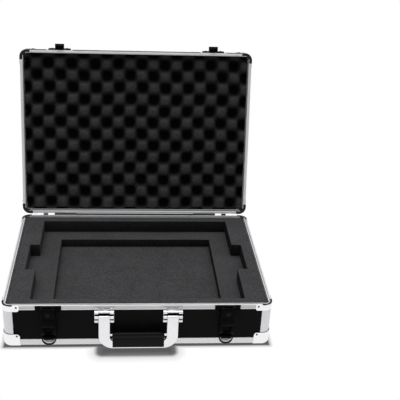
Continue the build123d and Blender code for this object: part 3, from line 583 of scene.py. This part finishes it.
def sky_bands(tree):
    """Grey bands from below to above, which the bright metals mirror."""
    place = tree.nodes.new("ShaderNodeTexCoord")
    split = tree.nodes.new("ShaderNodeSeparateXYZ")
    tree.links.new(place.outputs["Generated"], split.inputs["Vector"])
    height = tree.nodes.new("ShaderNodeMapRange")
    height.inputs["From Min"].default_value = -1.0
    tree.links.new(split.outputs["Z"], height.inputs["Value"])
    bands = tree.nodes.new("ShaderNodeValToRGB")
    tree.links.new(height.outputs["Result"], bands.inputs["Fac"])
    levels = ((0.0, 0.95), (0.52, 1.0), (0.62, 0.75), (0.72, 0.42), (0.84, 0.80), (1.0, 1.0))
    fill_ramp(bands.color_ramp, [(position, (level, level, level)) for position, level in levels])
    return bands.outputs["Color"]


def add_light():
    """A white room for the camera, a banded one for reflections, plain grey light and a soft box."""
    world = bpy.data.worlds.new("room")
    scene.world = world
    world.use_nodes = True
    tree = world.node_tree
    background = tree.nodes["Background"]
    path = tree.nodes.new("ShaderNodeLightPath")
    reflected = blend_colours(tree, path.outputs["Is Glossy Ray"], PLAIN_LIGHT, sky_bands(tree))
    seen = blend_colours(tree, path.outputs["Is Camera Ray"], reflected, (1.0, 1.0, 1.0))
    tree.links.new(seen, background.inputs["Color"])
    background.inputs["Strength"].default_value = 1.0
    world.cycles.sampling_method = "NONE"
    add_area("overhead", (-0.15, 0.25, 1.70), (0, 0.05, 0), (1.8, 1.4), 17.0)


def distance_from_box(shader, middle, half, reach):
    """The distance from a flat box on the floor, as a share of a reach."""
    beside = shader.vector_maths("ABSOLUTE", shader.vector_maths("SUBTRACT", shader.place, middle))
    beyond = shader.vector_maths("MAXIMUM", shader.vector_maths("SUBTRACT", beside, half), (0, 0, 0))
    return shader.ramp(shader.vector_maths("LENGTH", beyond, output="Value"), 0.0, 1.0, 0.0, reach)


def white_share(shader):
    """How much of the floor is plain white: all of it in reflections, little of it beside the case and under
    the handle, where the dark floor colour shows as a painted shadow.
    """
    case_half = (HALF_WIDTH, HALF_DEPTH, 0)
    case_fade = 0.25
    handle_middle = (-0.003, -0.176, 0)
    handle_half = (0.058, 0.006, 0)
    handle_fade = 0.06
    from_case = distance_from_box(shader, (0, 0, 0), case_half, case_fade)
    from_handle = distance_from_box(shader, handle_middle, handle_half, handle_fade)
    painted_case_shadow = shader.colours(from_case, (0.0, 0.05), (0.012, 0.60), (0.035, 1.0))
    painted_handle_shadow = shader.colours(from_handle, (0.0, 0.08), (0.14, 0.12), (0.27, 0.80), (0.5, 1.0))
    path = shader.node("ShaderNodeLightPath")
    far = shader.maths("MINIMUM", painted_case_shadow, painted_handle_shadow)
    seen = shader.maths("MULTIPLY", path.outputs["Is Camera Ray"], far)
    return shader.maths("MAXIMUM", seen, path.outputs["Is Glossy Ray"])


def add_floor():
    """White table top with a dull shine; far from the case it is the white backdrop, and beside the case and
    under the handle it carries a painted shadow.
    """
    size = 6.0
    mesh = bpy.data.meshes.new("floor")
    corners = [(-size, -size, 0), (size, -size, 0), (size, size, 0), (-size, size, 0)]
    mesh.from_pydata(corners, [], [(0, 1, 2, 3)])
    floor = bpy.data.objects.new("floor", mesh)
    scene.collection.objects.link(floor)
    shader = Shader("white_floor")
    # The dark base colour is the painted shadow's tone beside the case and under the handle.
    shader.set(Base_Color=(0.07, 0.07, 0.07, 1.0), Roughness=0.12, Specular_IOR_Level=0.3)
    white = shader.node("ShaderNodeEmission")
    mix = shader.node("ShaderNodeMixShader")
    shader.link(white_share(shader), mix.inputs["Fac"])
    shader.link(shader.bsdf.outputs["BSDF"], mix.inputs[1])
    shader.link(white.outputs["Emission"], mix.inputs[2])
    shader.link(mix.outputs["Shader"], shader.tree.nodes["Material Output"].inputs["Surface"])
    mesh.materials.append(shader.material)


# Foam lining


def inside(half_x, half_y):
    """A test for points inside a rectangle round the middle."""
    return lambda px, py: abs(px) < half_x and abs(py) < half_y


def both_sides(*halves):
    """Lines on both sides of the middle, from the outermost half to the innermost and back."""
    return [-half for half in halves] + list(reversed(halves))


def filled_cells(x_lines, y_lines, is_open):
    """The cells of a grid whose middles lie in foam."""
    return {
        (i, j)
        for i in range(len(x_lines) - 1)
        for j in range(len(y_lines) - 1)
        if not is_open((x_lines[i] + x_lines[i + 1]) / 2, (y_lines[j] + y_lines[j + 1]) / 2)
    }


def slab(name, node, x_lines, y_lines, is_open):
    """A foam sheet with square cut-outs, its edges a little soft, made cell by cell."""
    softness = 0.0007
    sharp_angle = 1.0
    top_slope = 0.75
    painted_side_light = 0.85
    low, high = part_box(node)
    bm = bmesh.new()
    verts = {}

    def vert(i, j, z):
        if (i, j, z) not in verts:
            verts[i, j, z] = bm.verts.new((x_lines[i], y_lines[j], z))
        return verts[i, j, z]

    filled = filled_cells(x_lines, y_lines, is_open)
    for i, j in filled:
        corners = [(i, j), (i + 1, j), (i + 1, j + 1), (i, j + 1)]
        bm.faces.new([vert(a, b, high.z) for a, b in corners])
        bm.faces.new([vert(a, b, low.z) for a, b in reversed(corners)])
        for side, cell in enumerate([(i, j - 1), (i + 1, j), (i, j + 1), (i - 1, j)]):
            if cell not in filled:
                start, end = corners[side], corners[(side + 1) % 4]
                lower = [vert(*corner, low.z) for corner in (start, end)]
                upper = [vert(*corner, high.z) for corner in (end, start)]
                bm.faces.new(lower + upper)
    bmesh.ops.recalc_face_normals(bm, faces=bm.faces)
    bmesh.ops.dissolve_limit(bm, angle_limit=0.01, verts=bm.verts, edges=bm.edges)
    sharp = [edge for edge in bm.edges if edge.calc_face_angle(0.0) > sharp_angle]
    bmesh.ops.bevel(bm, geom=sharp, offset=softness, segments=2, profile=0.5, affect="EDGES")
    piece = make_piece(name, bm, "charcoal_foam", "base", [node])
    # Painted light and shade: tops count as lit skin, walls facing +X are painted lighter as if lit from
    # that side, and all other walls are painted darker.
    normals = [vert.normal for vert in piece.data.vertices]
    painted_light_amounts = [1.0 if normal.z > top_slope else max(painted_side_light * normal.x, 0.0) for normal in normals]
    set_painted_light(piece.data, painted_light_amounts)


def add_base_foam():
    """The three layers of the base: device pocket, accessory pocket and bottom sheet."""
    side_wall = 0.0377
    end_wall = 0.0162
    notch_wall = 0.0192
    notch_y = 0.0445
    side_step = 0.036
    end_step = 0.0315
    x, y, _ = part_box("foam_top_layer")[1]
    pocket_x = x - side_wall
    pocket_y = y - end_wall
    notch_x = x - notch_wall
    inner_x = pocket_x - side_step
    inner_y = pocket_y - end_step
    in_main = inside(pocket_x, pocket_y)
    in_notches = inside(notch_x, notch_y)
    x_lines = both_sides(x, notch_x, pocket_x)
    y_lines = both_sides(y, pocket_y, notch_y)

    def in_pocket(px, py):
        return in_main(px, py) or in_notches(px, py)

    slab("foam_with_device_pocket", "foam_top_layer", x_lines, y_lines, in_pocket)
    x_lines = both_sides(x, inner_x)
    y_lines = both_sides(y, inner_y)
    slab("foam_with_accessory_pocket", "foam_middle_layer", x_lines, y_lines, inside(inner_x, inner_y))
    slab("foam_sheet", "foam_bottom_sheet", both_sides(x), both_sides(y), inside(0, 0))


def foam_level(px, py):
    """The level of egg-crate foam between pit (0) and peak (1): blunt waves that sway as cut foam does."""
    pitch_x = 0.0233
    pitch_y = 0.0236
    shift_y = 0.0033
    bluntness = 2.1
    sway = 0.0012
    sway_length_x = 0.154
    sway_length_y = 0.11
    drift_x = sway * math.sin(2 * math.pi * py / sway_length_y)
    drift_y = sway * math.sin(2 * math.pi * px / sway_length_x + 1.0)
    along_x = math.sin(math.pi * (px + drift_x) / pitch_x)
    along_y = math.cos(math.pi * (py - shift_y + drift_y) / pitch_y)
    return (1 + math.tanh(bluntness * along_x * along_y) / math.tanh(bluntness)) / 2


def add_lid_foam():
    """Convoluted foam: one smooth wave of blunt peaks and pits over the lid's whole inside."""
    peak_drop = 0.006
    pit_drop = 0.024
    clearance = 0.0003
    painted_light_gain = 1.3
    painted_light_drop = 0.1
    x = HALF_WIDTH - WALL - clearance
    y = HALF_DEPTH - WALL - clearance
    columns = 280
    rows = 204
    xs = [-x + 2 * x * step / columns for step in range(columns + 1)]
    ys = [-y + 2 * y * step / rows for step in range(rows + 1)]
    pit = LID_HEIGHT - pit_drop
    bm = bmesh.new()
    painted_light_amounts = []
    top = []
    for py in ys:
        levels = [foam_level(px, py) for px in xs]
        points = [(px, py, pit + level * (pit_drop - peak_drop)) for px, level in zip(xs, levels)]
        top.append([bm.verts.new(LID_PLACE @ Vector(point)) for point in points])
        # Painted shade: the colour is painted darker with depth, down to near black in the pits.
        painted_light_amounts += [min(max(painted_light_gain * level - painted_light_drop, 0.0), 1.0) for level in levels]
    for first, second in zip(top, top[1:]):
        bridge(bm, first, second, is_closed=False)
    border = [(i, 0) for i in range(columns)] + [(columns, j) for j in range(rows)]
    border += [(i, rows) for i in range(columns, 0, -1)] + [(0, j) for j in range(rows, 0, -1)]
    foot = [bm.verts.new(LID_PLACE @ Vector((xs[i], ys[j], PANEL_BACK))) for i, j in border]
    bridge(bm, [top[j][i] for i, j in border], foot)
    bm.faces.new(foot)
    painted_light_amounts += [0.0] * len(foot)
    piece = make_piece("eggcrate_lining", bm, "eggcrate_foam", "lid", ["lid_foam"], math.radians(60))
    set_painted_light(piece.data, painted_light_amounts)


# Corner pieces and rivets


def corner_path(radius, reach, arc_steps=10, ear_steps=8):
    """Points round a corner at the origin side: ((x, y), outward direction, distance from the ear's end)."""
    points = []
    straight = reach - radius
    for step in range(ear_steps + 1):
        left = straight * step / ear_steps
        points.append(((0.0, reach - left), (-1.0, 0.0), left))
    for step in range(1, arc_steps):
        turn = math.pi / 2 * step / arc_steps
        direction = (-math.cos(turn), -math.sin(turn))
        place = (radius + radius * direction[0], radius + radius * direction[1])
        points.append((place, direction, straight))
    for step in range(ear_steps + 1):
        left = straight * (ear_steps - step) / ear_steps
        points.append(((reach - left, 0.0), (0.0, -1.0), left))
    return points


def set_out(corner, direction, points):
    """Points (distance outwards, height) set out from a place on a corner's path."""
    return [(corner[0] + direction[0] * out, corner[1] + direction[1] * out, z) for out, z in points]


def skin(bm, rows, place):
    """Faces between neighbouring rows of points."""
    made = [[bm.verts.new(place @ Vector(point)) for point in row] for row in rows]
    for first, second in zip(made, made[1:]):
        bridge(bm, first, second, is_closed=False)
    return made


def ear_rise(distance, radius):
    """How far a rounded ear's free corner lies inside its square, at a distance from the ear's end."""
    if distance >= radius:
        return 0.0
    return radius - math.sqrt(max(radius**2 - (radius - distance) ** 2, 0.0))


def cap_rows(thickness, lift):
    """Sections of a bottom cap at a distance outside the case's skin, at the front left corner."""
    ear_round = 0.005
    bend = arc((0, 0), EDGE_RADIUS + thickness, 0, 90, 6)
    rows = []
    for corner, direction, left in corner_path(CORNER_RADIUS, CAP_REACH):
        high = CAP_TOP - ear_rise(left, ear_round) - lift
        points = [(thickness, high), (thickness, (high + EDGE_RADIUS) / 2)]
        points += [(inset - EDGE_RADIUS, EDGE_RADIUS - drop) for inset, drop in bend]
        rows.append(set_out(corner, direction, points))
    return rows


def corner_mesh(bm, place, outer_rows, inner_rows, floor_reach=None):
    """A shell between two sets of sections, with a plate under the case if it is given a reach."""
    outer = skin(bm, outer_rows, place)
    inner = skin(bm, inner_rows, place)
    bridge(bm, [row[0] for row in outer], [row[0] for row in inner], is_closed=False)
    for end in (0, -1):
        bridge(bm, outer[end], inner[end], is_closed=False)
    outer_foot = [row[-1] for row in outer]
    inner_foot = [row[-1] for row in inner]
    if floor_reach is None:
        bridge(bm, outer_foot, inner_foot, is_closed=False)
        return
    low = bm.verts.new(place @ Vector((floor_reach, floor_reach, outer_rows[0][-1][2])))
    high = bm.verts.new(place @ Vector((floor_reach, floor_reach, inner_rows[0][-1][2])))
    bm.faces.new(outer_foot + [low])
    bm.faces.new(inner_foot + [high])
    for end in (0, -1):
        bm.faces.new([outer_foot[end], inner_foot[end], high, low])


def corner_places(tray):
    """Frames of a tray's four corners, each with X and Y along the walls from the corner."""
    places = []
    for side in (1, -1):
        for end in (1, -1):
            mirror = Matrix.Diagonal((side, end, 1, 1))
            places.append(tray @ mirror @ Matrix.Translation((-HALF_WIDTH, -HALF_DEPTH, 0)))
    return places


def add_caps(body, tray):
    """The four pressed caps of a tray, with round ears and a double-curved corner."""
    inner_lift = 0.0002
    cut_low = CAP_TOP - 0.006
    cut_slope = 0.7
    outer = cap_rows(CAP_THICKNESS, 0.0)
    inner = cap_rows(SHELL_GAP, inner_lift)
    to_local = tray.inverted()
    bm = bmesh.new()
    for place in corner_places(tray):
        corner_mesh(bm, place, outer, inner, CAP_REACH)

    # Painted shade: the cap's upward cut edge is painted near black, as the shade line where the cap meets
    # the post.
    def on_shaded_edge(middle, normal):
        return (to_local @ middle).z > cut_low and (to_local.to_3x3() @ normal).z > cut_slope

    piece = make_piece(f"{body}_pressed_caps", bm, "chrome_corners", body, [f"{body}_corner_caps"])
    set_shade(piece.data, on_shaded_edge)


def rim_rows(thickness, height, lift):
    """Sections of a rim corner's ears at a distance outside the case's skin."""
    reach = 0.0293
    ear_drop = 0.003
    ear_round = 0.004
    edge = 0.0004
    low = height - RIM_HEIGHT - ear_drop
    rows = []
    for corner, direction, left in corner_path(CORNER_RADIUS, reach):
        points = [
            (thickness - lift, height - lift * 0.2),
            (thickness, height - edge),
            (thickness, (height + low) / 2),
            (thickness, low + ear_rise(left, ear_round) + lift),
        ]
        rows.append(set_out(corner, direction, points))
    return rows


def rim_block(bm, place, height):
    """The casting that fills the corner between two rims."""
    reach = CORNER_RADIUS
    inner = 0.0025
    outline = arc((reach, reach), reach, 180, 270, 12)
    outline.append((reach, WALL))
    outline += arc((WALL + inner, WALL + inner), inner, 270, 180, 6)[1:-1]
    outline.append((WALL, reach))
    loft(bm, [[(px, py, z) for px, py in outline] for z in (height, height - RIM_HEIGHT)], place)


def add_rim_corners(body, tray, height):
    """The four castings that join the rims of a tray."""
    inner_lift = 0.0001
    outer = rim_rows(CASTING_THICKNESS, height, 0.0)
    inner = rim_rows(SHELL_GAP, height, inner_lift)
    bm = bmesh.new()
    for place in corner_places(tray):
        corner_mesh(bm, place, outer, inner)
        rim_block(bm, place, height)
    make_piece(f"{body}_rim_castings", bm, "chrome_corners", body, [f"{body}_rim_corners"])


def rim_profile(has_groove):
    """Section of a rim: distance inwards from the skin and height above its foot."""
    top = RIM_HEIGHT
    floor = top - 0.0022
    lip = [(0.0012, 0.0), (0.0003, 0.0), (0.0, 0.0003), (0.0, 0.0017), (0.0002, 0.0020)]
    line = [(0.0007, 0.00205), (0.0007, 0.0027), (0.00035, 0.0028)]
    band = [(0.00012, 0.0079), (0.0, 0.0081), (0.0, top - 0.0003), (0.0003, top)]
    groove = [(GROOVE_NEAR, top), (GROOVE_NEAR, floor), (GROOVE_FAR, floor), (GROOVE_FAR, top)]
    inside_edge = [(0.0068, top), (WALL, top - 0.0002), (WALL, 0.0)]
    slot = [(0.0057, 0.0), (0.0057, 0.0045), (0.0012, 0.0045)]
    return lip + line + band + (groove if has_groove else []) + inside_edge + slot


def add_rim_bar(bm, tray, axis, edge, ends, foot, has_groove):
    """One rim extrusion along a wall whose skin lies at an edge, between two ends."""
    sections = []
    for along in ends:
        section = []
        for inward, up in rim_profile(has_groove):
            point = [along, along, foot + up]
            point[axis] = edge - math.copysign(inward, edge)
            section.append(point)
        sections.append(section)
    loft(bm, sections, tray)


def add_tongue(bm, tray, axis, edge, ends, height):
    """The tongue on a lid rim, which stops short of the castings so that the lid closes freely."""
    short = 0.0065
    sink = 0.0003
    rise = 0.0018
    near = math.copysign(0.0026, edge)
    far = math.copysign(0.0044, edge)
    low = Vector((ends[0] + short, ends[0] + short, height - sink))
    high = Vector((ends[1] - short, ends[1] - short, height + rise))
    low[axis], high[axis] = sorted((edge - near, edge - far))
    add_box(bm, low, high, tray)


def shade_rims(mesh, tray, axis, foot):
    """Paints shade on the front band of a tray's rims and in their groove."""
    to_local = tray.inverted()
    band_depth = 0.0009
    band_low = 0.0020
    band_high = 0.0080
    margin = 0.0001

    def in_shaded_band(middle, _):
        local = to_local @ middle
        inward = HALF_SIZES[axis] - abs(local[axis])
        on_front = inward < band_depth and band_low < local.z - foot < band_high
        return on_front or GROOVE_NEAR - margin < inward < GROOVE_FAR + margin

    set_shade(mesh, in_shaded_band)


def add_rims(body, tray, height, has_groove):
    """Rim extrusions with a rounded lip, a shadow line and a slightly hollow band, with painted shade on the
    band and in the groove.
    """
    foot = height - RIM_HEIGHT
    for kind, axis in (("long", 1), ("short", 0)):
        node = f"{body}_{kind}_rims"
        bm = bmesh.new()
        for low, high in solids_of(node, tray.inverted()):
            edge = math.copysign(HALF_SIZES[axis], (low + high)[axis])
            ends = (low[1 - axis], high[1 - axis])
            add_rim_bar(bm, tray, axis, edge, ends, foot, has_groove)
            if not has_groove:
                add_tongue(bm, tray, axis, edge, ends, height)
        name = f"{body}_{kind}_rim_bars"
        piece = make_piece(name, bm, "satin_aluminium", body, [node], math.radians(25))
        shade_rims(piece.data, tray, axis, foot)


def rounded_outline(half_x, half_y, radius, steps=6):
    """Points round a rectangle with round corners."""
    x, y = half_x - radius, half_y - radius
    outline = []
    for start, centre in ((0, (x, y)), (90, (-x, y)), (180, (-x, -y)), (270, (x, -y))):
        outline += arc(centre, radius, start, start + 90, steps)
    return outline


def add_shade_strip(body, tray, height):
    """Thin black strip on the inner edge of a rim, round the whole tray, as painted shade where the rim's
    inner edge lies in shade.
    """
    strip = 0.0012
    rise = 0.00012
    outer = rounded_outline(HALF_WIDTH - WALL + strip, HALF_DEPTH - WALL + strip, 0.005)
    inner = rounded_outline(HALF_WIDTH - WALL, HALF_DEPTH - WALL, 0.004)
    low = height - TRIM_SINK
    high = height + rise
    corners = ((outer, low), (outer, high), (inner, high), (inner, low))
    bm = bmesh.new()
    hoop(bm, [[bm.verts.new(tray @ Vector((x, y, z))) for x, y in outline] for outline, z in corners])
    make_piece(f"{body}_shade_strip", bm, "black_rubber", body)


def add_lid_bead():
    """Black bead along the outer edge of the lid's front rim, with gaps for the catches."""
    end = 0.2120
    gap_end = 0.1775
    gap_start = 0.1270
    drop = 0.0012
    overlap = 0.0004
    low = (-HALF_DEPTH - BEAD_OUT, LID_HEIGHT - drop)
    high = (-HALF_DEPTH + overlap, LID_HEIGHT + BEAD_RISE)
    bm = bmesh.new()
    for left, right in ((-end, -gap_end), (-gap_start, gap_start), (gap_end, end)):
        add_box(bm, (left, *low), (right, *high), LID_PLACE)
    make_piece("lid_front_bead", bm, "black_rubber", "lid")


def add_corner_inserts(body, tray, height, inset, overlap):
    """Black plastic arcs on top of the four corner castings of a tray, which overlap the rims' ends."""
    drop = 0.0009
    top = height + BEAD_RISE
    points = [(BEAD_OUT, height - drop), (BEAD_OUT, top), (-inset, top), (-inset, height - TRIM_SINK)]
    path = corner_path(CORNER_RADIUS, CORNER_RADIUS + overlap, arc_steps=12, ear_steps=2)
    sections = [set_out(corner, direction, points) for corner, direction, _ in path]
    bm = bmesh.new()
    for place in corner_places(tray):
        loft(bm, sections, place)
    make_piece(f"{body}_corner_inserts", bm, "black_rubber", body)


def add_hinge_shade_cord():
    """Round black cord on the hinge line between the two hinges, which stands for the shade in the gap
    there: painted shade.
    """
    radius = 0.0020
    reach = 0.1245
    bm = bmesh.new()
    place = Matrix.Translation(HINGE) @ Matrix.Rotation(math.pi / 2, 4, "Y")
    lathe(bm, [(0.0, -reach), (radius, -reach), (radius, reach), (0.0, reach)], place, 16)
    make_piece("hinge_line_shade_cord", bm, "black_rubber", "base")


def rivet_place(box):
    """The frame and radius of a rivet head from its box: Z points away from the case."""
    low, high = box
    size = high - low
    middle = (low + high) / 2
    axis = min(range(2), key=lambda index: size[index])
    sign = 1 if middle[axis] > 0 else -1
    direction = Vector((0, 0, 0))
    direction[axis] = sign
    foot = Vector(middle)
    foot[axis] = (low if sign > 0 else high)[axis]
    turn = Vector((0, 0, 1)).rotation_difference(direction).to_matrix().to_4x4()
    return Matrix.Translation(foot) @ turn, max(size) / 2


def add_rivets(node, tray, body):
    """Domed rivet heads, each with a pressed ring round it, where the CAD has them."""
    rise = 0.0007
    collar = 0.0002
    dimple = 0.00025
    ring_share = 0.62
    bm = bmesh.new()
    for box in solids_of(node, tray.inverted()):
        place, radius = rivet_place(box)
        ring = radius * ring_share
        profile = [(0.0, 0.0), (radius, 0.0), (radius, collar)]
        for angle in (25, 50, 75, 90, 120, 150):
            turn = math.radians(angle)
            reach = ring + (radius - ring) * math.cos(turn)
            profile.append((reach, collar + (rise - collar) * math.sin(turn)))
        profile += [(ring * 0.5, dimple), (0.0, collar)]
        lathe(bm, profile, tray @ place)
    make_piece(f"{node}_domed", bm, SLOT_OF[node], body, [node], math.radians(50))


def add_feet():
    """Turned rubber feet with a recess for the screw."""
    radius = 0.008
    bore = 0.0022
    recess = 0.004
    floor = 0.002
    soft = 0.0003
    bm = bmesh.new()
    for low, high in solids_of("feet", BASE_PLACE.inverted()):
        middle = (low + high) / 2
        place = BASE_PLACE @ Matrix.Translation((middle.x, middle.y, low.z))
        rise = high.z - low.z
        profile = [(bore, floor), (recess, floor), (recess, soft), (recess + soft, 0.0)]
        profile += [(radius - 0.0008, 0.0), (radius - 0.0002, soft), (radius, 3 * soft)]
        profile += [(radius - 0.0001, rise), (bore, rise), (bore, floor)]
        lathe(bm, profile, place, 40)
    make_piece("turned_feet", bm, "black_rubber", "base", ["feet"])


# Handle, latches and rings


def tube(bm, path, radii, steps=16):
    """A round wire along a closed path in the plane y = constant, with a radius at each point."""
    side = Vector((0, 1, 0))
    turns = [2 * math.pi * step / steps for step in range(steps)]
    rings = []
    for index, point in enumerate(path):
        along = (path[(index + 1) % len(path)] - path[index - 1]).normalized()
        across = along.cross(side).normalized()
        offsets = [(across * math.cos(turn) + side * math.sin(turn)) * radii[index] for turn in turns]
        rings.append([bm.verts.new(point + offset) for offset in offsets])
    hoop(bm, rings)


def add_ring(side):
    """A bent wire D with small bends at the top corners, a little thicker towards the bow."""
    node = f"strap_ring_{side}"
    low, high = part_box(node)
    wire = 0.00125
    swell = 0.0004
    bend = 0.0022
    middle_x = (low.x + high.x) / 2
    middle_y = (low.y + high.y) / 2
    half = (high.x - low.x) / 2 - wire
    top = high.z - wire
    centre = low.z + wire + half
    outline = arc((half - bend, top - bend), bend, 0, 90, 5)
    outline += arc((-half + bend, top - bend), bend, 90, 180, 5)
    outline += arc((0, centre), half, 180, 360, 36)
    path = [Vector((middle_x + px, middle_y, pz)) for px, pz in outline]
    radii = [wire + swell * min(max(2 * (top - point.z) / half - 1, 0.0), 1.0) for point in path]
    bm = bmesh.new()
    tube(bm, path, radii)
    make_piece(f"{node}_wire", bm, "ring_wire", f"ring_{side}", [node], math.radians(80))


def bracket_outline(bottom, top, pivot_z, top_rise):
    """Side view of a handle bracket: depth in front of the case and height, with three ridges."""
    valley = 0.006
    ridge = 0.0029
    middle_depth = 0.013
    low_rise = -0.009
    outline = [(0.0, bottom), (valley, bottom)]
    for rise, centre in ((low_rise, RIDGE_DEPTH), (0, middle_depth), (top_rise, RIDGE_DEPTH)):
        z = pivot_z + rise
        outline += [(valley, z - ridge)] + arc((centre, z), ridge, -90, 90, 12) + [(valley, z + ridge)]
    return outline + [(BRACKET_PLATE, pivot_z + top_rise + ridge), (BRACKET_PLATE, top), (0.0, top)]


def add_brackets():
    """Cast brackets with three round ridges on each cheek and a bar above the arm."""
    low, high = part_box("handle_brackets")
    pivot = Vector(joints["handle_pivot"]["pos_m"])
    bracket_x = 0.058
    half = 0.0165
    slot = 0.0098
    plate = BRACKET_PLATE
    top_rise = 0.008
    bar_rise = 0.009
    rod = 0.0019
    side_slope = 0.3
    bar_z = pivot.z + bar_rise
    cheek = bracket_outline(low.z, high.z, pivot.z, top_rise)
    back = [(0.0, low.z), (plate, low.z), (plate, high.z), (0.0, high.z)]
    bar = [(plate, bar_z - rod)] + arc((RIDGE_DEPTH, bar_z), rod, -90, 90, 12) + [(plate, bar_z + rod)]
    bm = bmesh.new()
    for middle_x in (-bracket_x, bracket_x):
        extrude_outline(bm, cheek, middle_x - half, middle_x - slot)
        extrude_outline(bm, cheek, middle_x + slot, middle_x + half)
        for outline in (back, bar):
            extrude_outline(bm, outline, middle_x - slot, middle_x + slot)

    # Painted shade: the faces between the ridges and the plate behind them are painted near black.
    def in_shaded_valley(middle, normal):
        depth = -HALF_DEPTH - middle.y
        is_behind = plate - 0.0005 < depth < RIDGE_DEPTH - 0.0002
        return abs(normal.x) < side_slope and is_behind and middle.z < pivot.z + top_rise

    piece = make_piece("ridged_brackets", bm, "handle_chrome", "base", ["handle_brackets"])
    set_shade(piece.data, in_shaded_valley)


def extrude_outline(bm, outline, x_low, x_high):
    """Draws (depth before the case, height) points out along X, with a small bevel at both ends."""
    bevel = 0.0005
    centre = sum((Vector(point) for point in outline), Vector((0, 0))) / len(outline)
    inset = []
    for point in outline:
        offset = Vector(point) - centre
        inset.append(centre + offset * max(0.0, 1 - bevel / max(offset.length, 1e-6)))
    stations = ((x_low, inset), (x_low + bevel, outline), (x_high - bevel, outline), (x_high, inset))
    loft(bm, [[(x, -HALF_DEPTH - depth, z) for depth, z in points] for x, points in stations], Matrix())


def close_hoods(bm):
    """The end wall of each catch's hood, which the latch's front doesn't reach."""
    catch_x = 0.1523
    half = 0.0086
    hood_rise = 0.009
    front = 0.0119
    back = 0.0030
    wall = 0.0015
    top = BASE_HEIGHT + PARTING_GAP + hood_rise - 0.0001
    low = (-HALF_DEPTH - front, top - wall)
    high = (-HALF_DEPTH - back, top)
    for x in (-catch_x, catch_x):
        add_box(bm, (x - half, *low), (x + half, *high), LID_SWING @ BASE_PLACE)


DRESSED = {
    "handle_bail": (0.0007, 3),
    "handle_grip": (0.0020, 4),
    "grip_rod": (0.0003, 2),
    "latch_plate_left": (0.0003, 2),
    "latch_plate_right": (0.0003, 2),
    "latch_housing_left": (0.0005, 2),
    "latch_housing_right": (0.0005, 2),
    "latch_lever_left": (0.0004, 2),
    "latch_lever_right": (0.0004, 2),
    "ring_clips": (0.0003, 2),
    "hinge_base_leaves": (0.0002, 2),
    "hinge_lid_leaves": (0.0002, 2),
    "rear_buffers": (0.0003, 2),
}

# Each tray's body, place and height, whether its rims have a groove, and its inserts' width and overlap
TRAYS = (
    ("base", BASE_PLACE, BASE_HEIGHT, True, 0.0024, 0.0038),
    ("lid", LID_PLACE, LID_HEIGHT, False, 0.0050, 0.0055),
)


def assign_materials():
    """Gives each CAD node that stays in view its own finish."""
    for node, piece in frame["nodes"].items():
        piece.data.materials.clear()
        piece.data.materials.append(MATERIALS[SLOT_OF[node]])


assign_materials()
add_camera()
add_light()
add_floor()
add_base_foam()
add_lid_foam()
for body, tray, height, has_groove, inset, overlap in TRAYS:
    add_caps(body, tray)
    add_rim_corners(body, tray, height)
    add_rims(body, tray, height, has_groove)
    add_shade_strip(body, tray, height)
    add_corner_inserts(body, tray, height, inset, overlap)
    add_rivets(f"{body}_rivets", tray, body)
for node in ("hinge_base_rivets", "latch_rivets"):
    add_rivets(node, BASE_PLACE, "base")
for node in ("hinge_lid_rivets", "keeper_rivets"):
    add_rivets(node, LID_PLACE, "lid")
add_lid_bead()
add_hinge_shade_cord()
add_feet()
add_brackets()
for side in ("left", "right"):
    add_ring(side)
for node, (width, segments) in DRESSED.items():
    dressed_copy(node, width, segments)
dressed_copy("lid_keepers", 0.0004, add=close_hoods)

scene.view_settings.view_transform = "Standard"
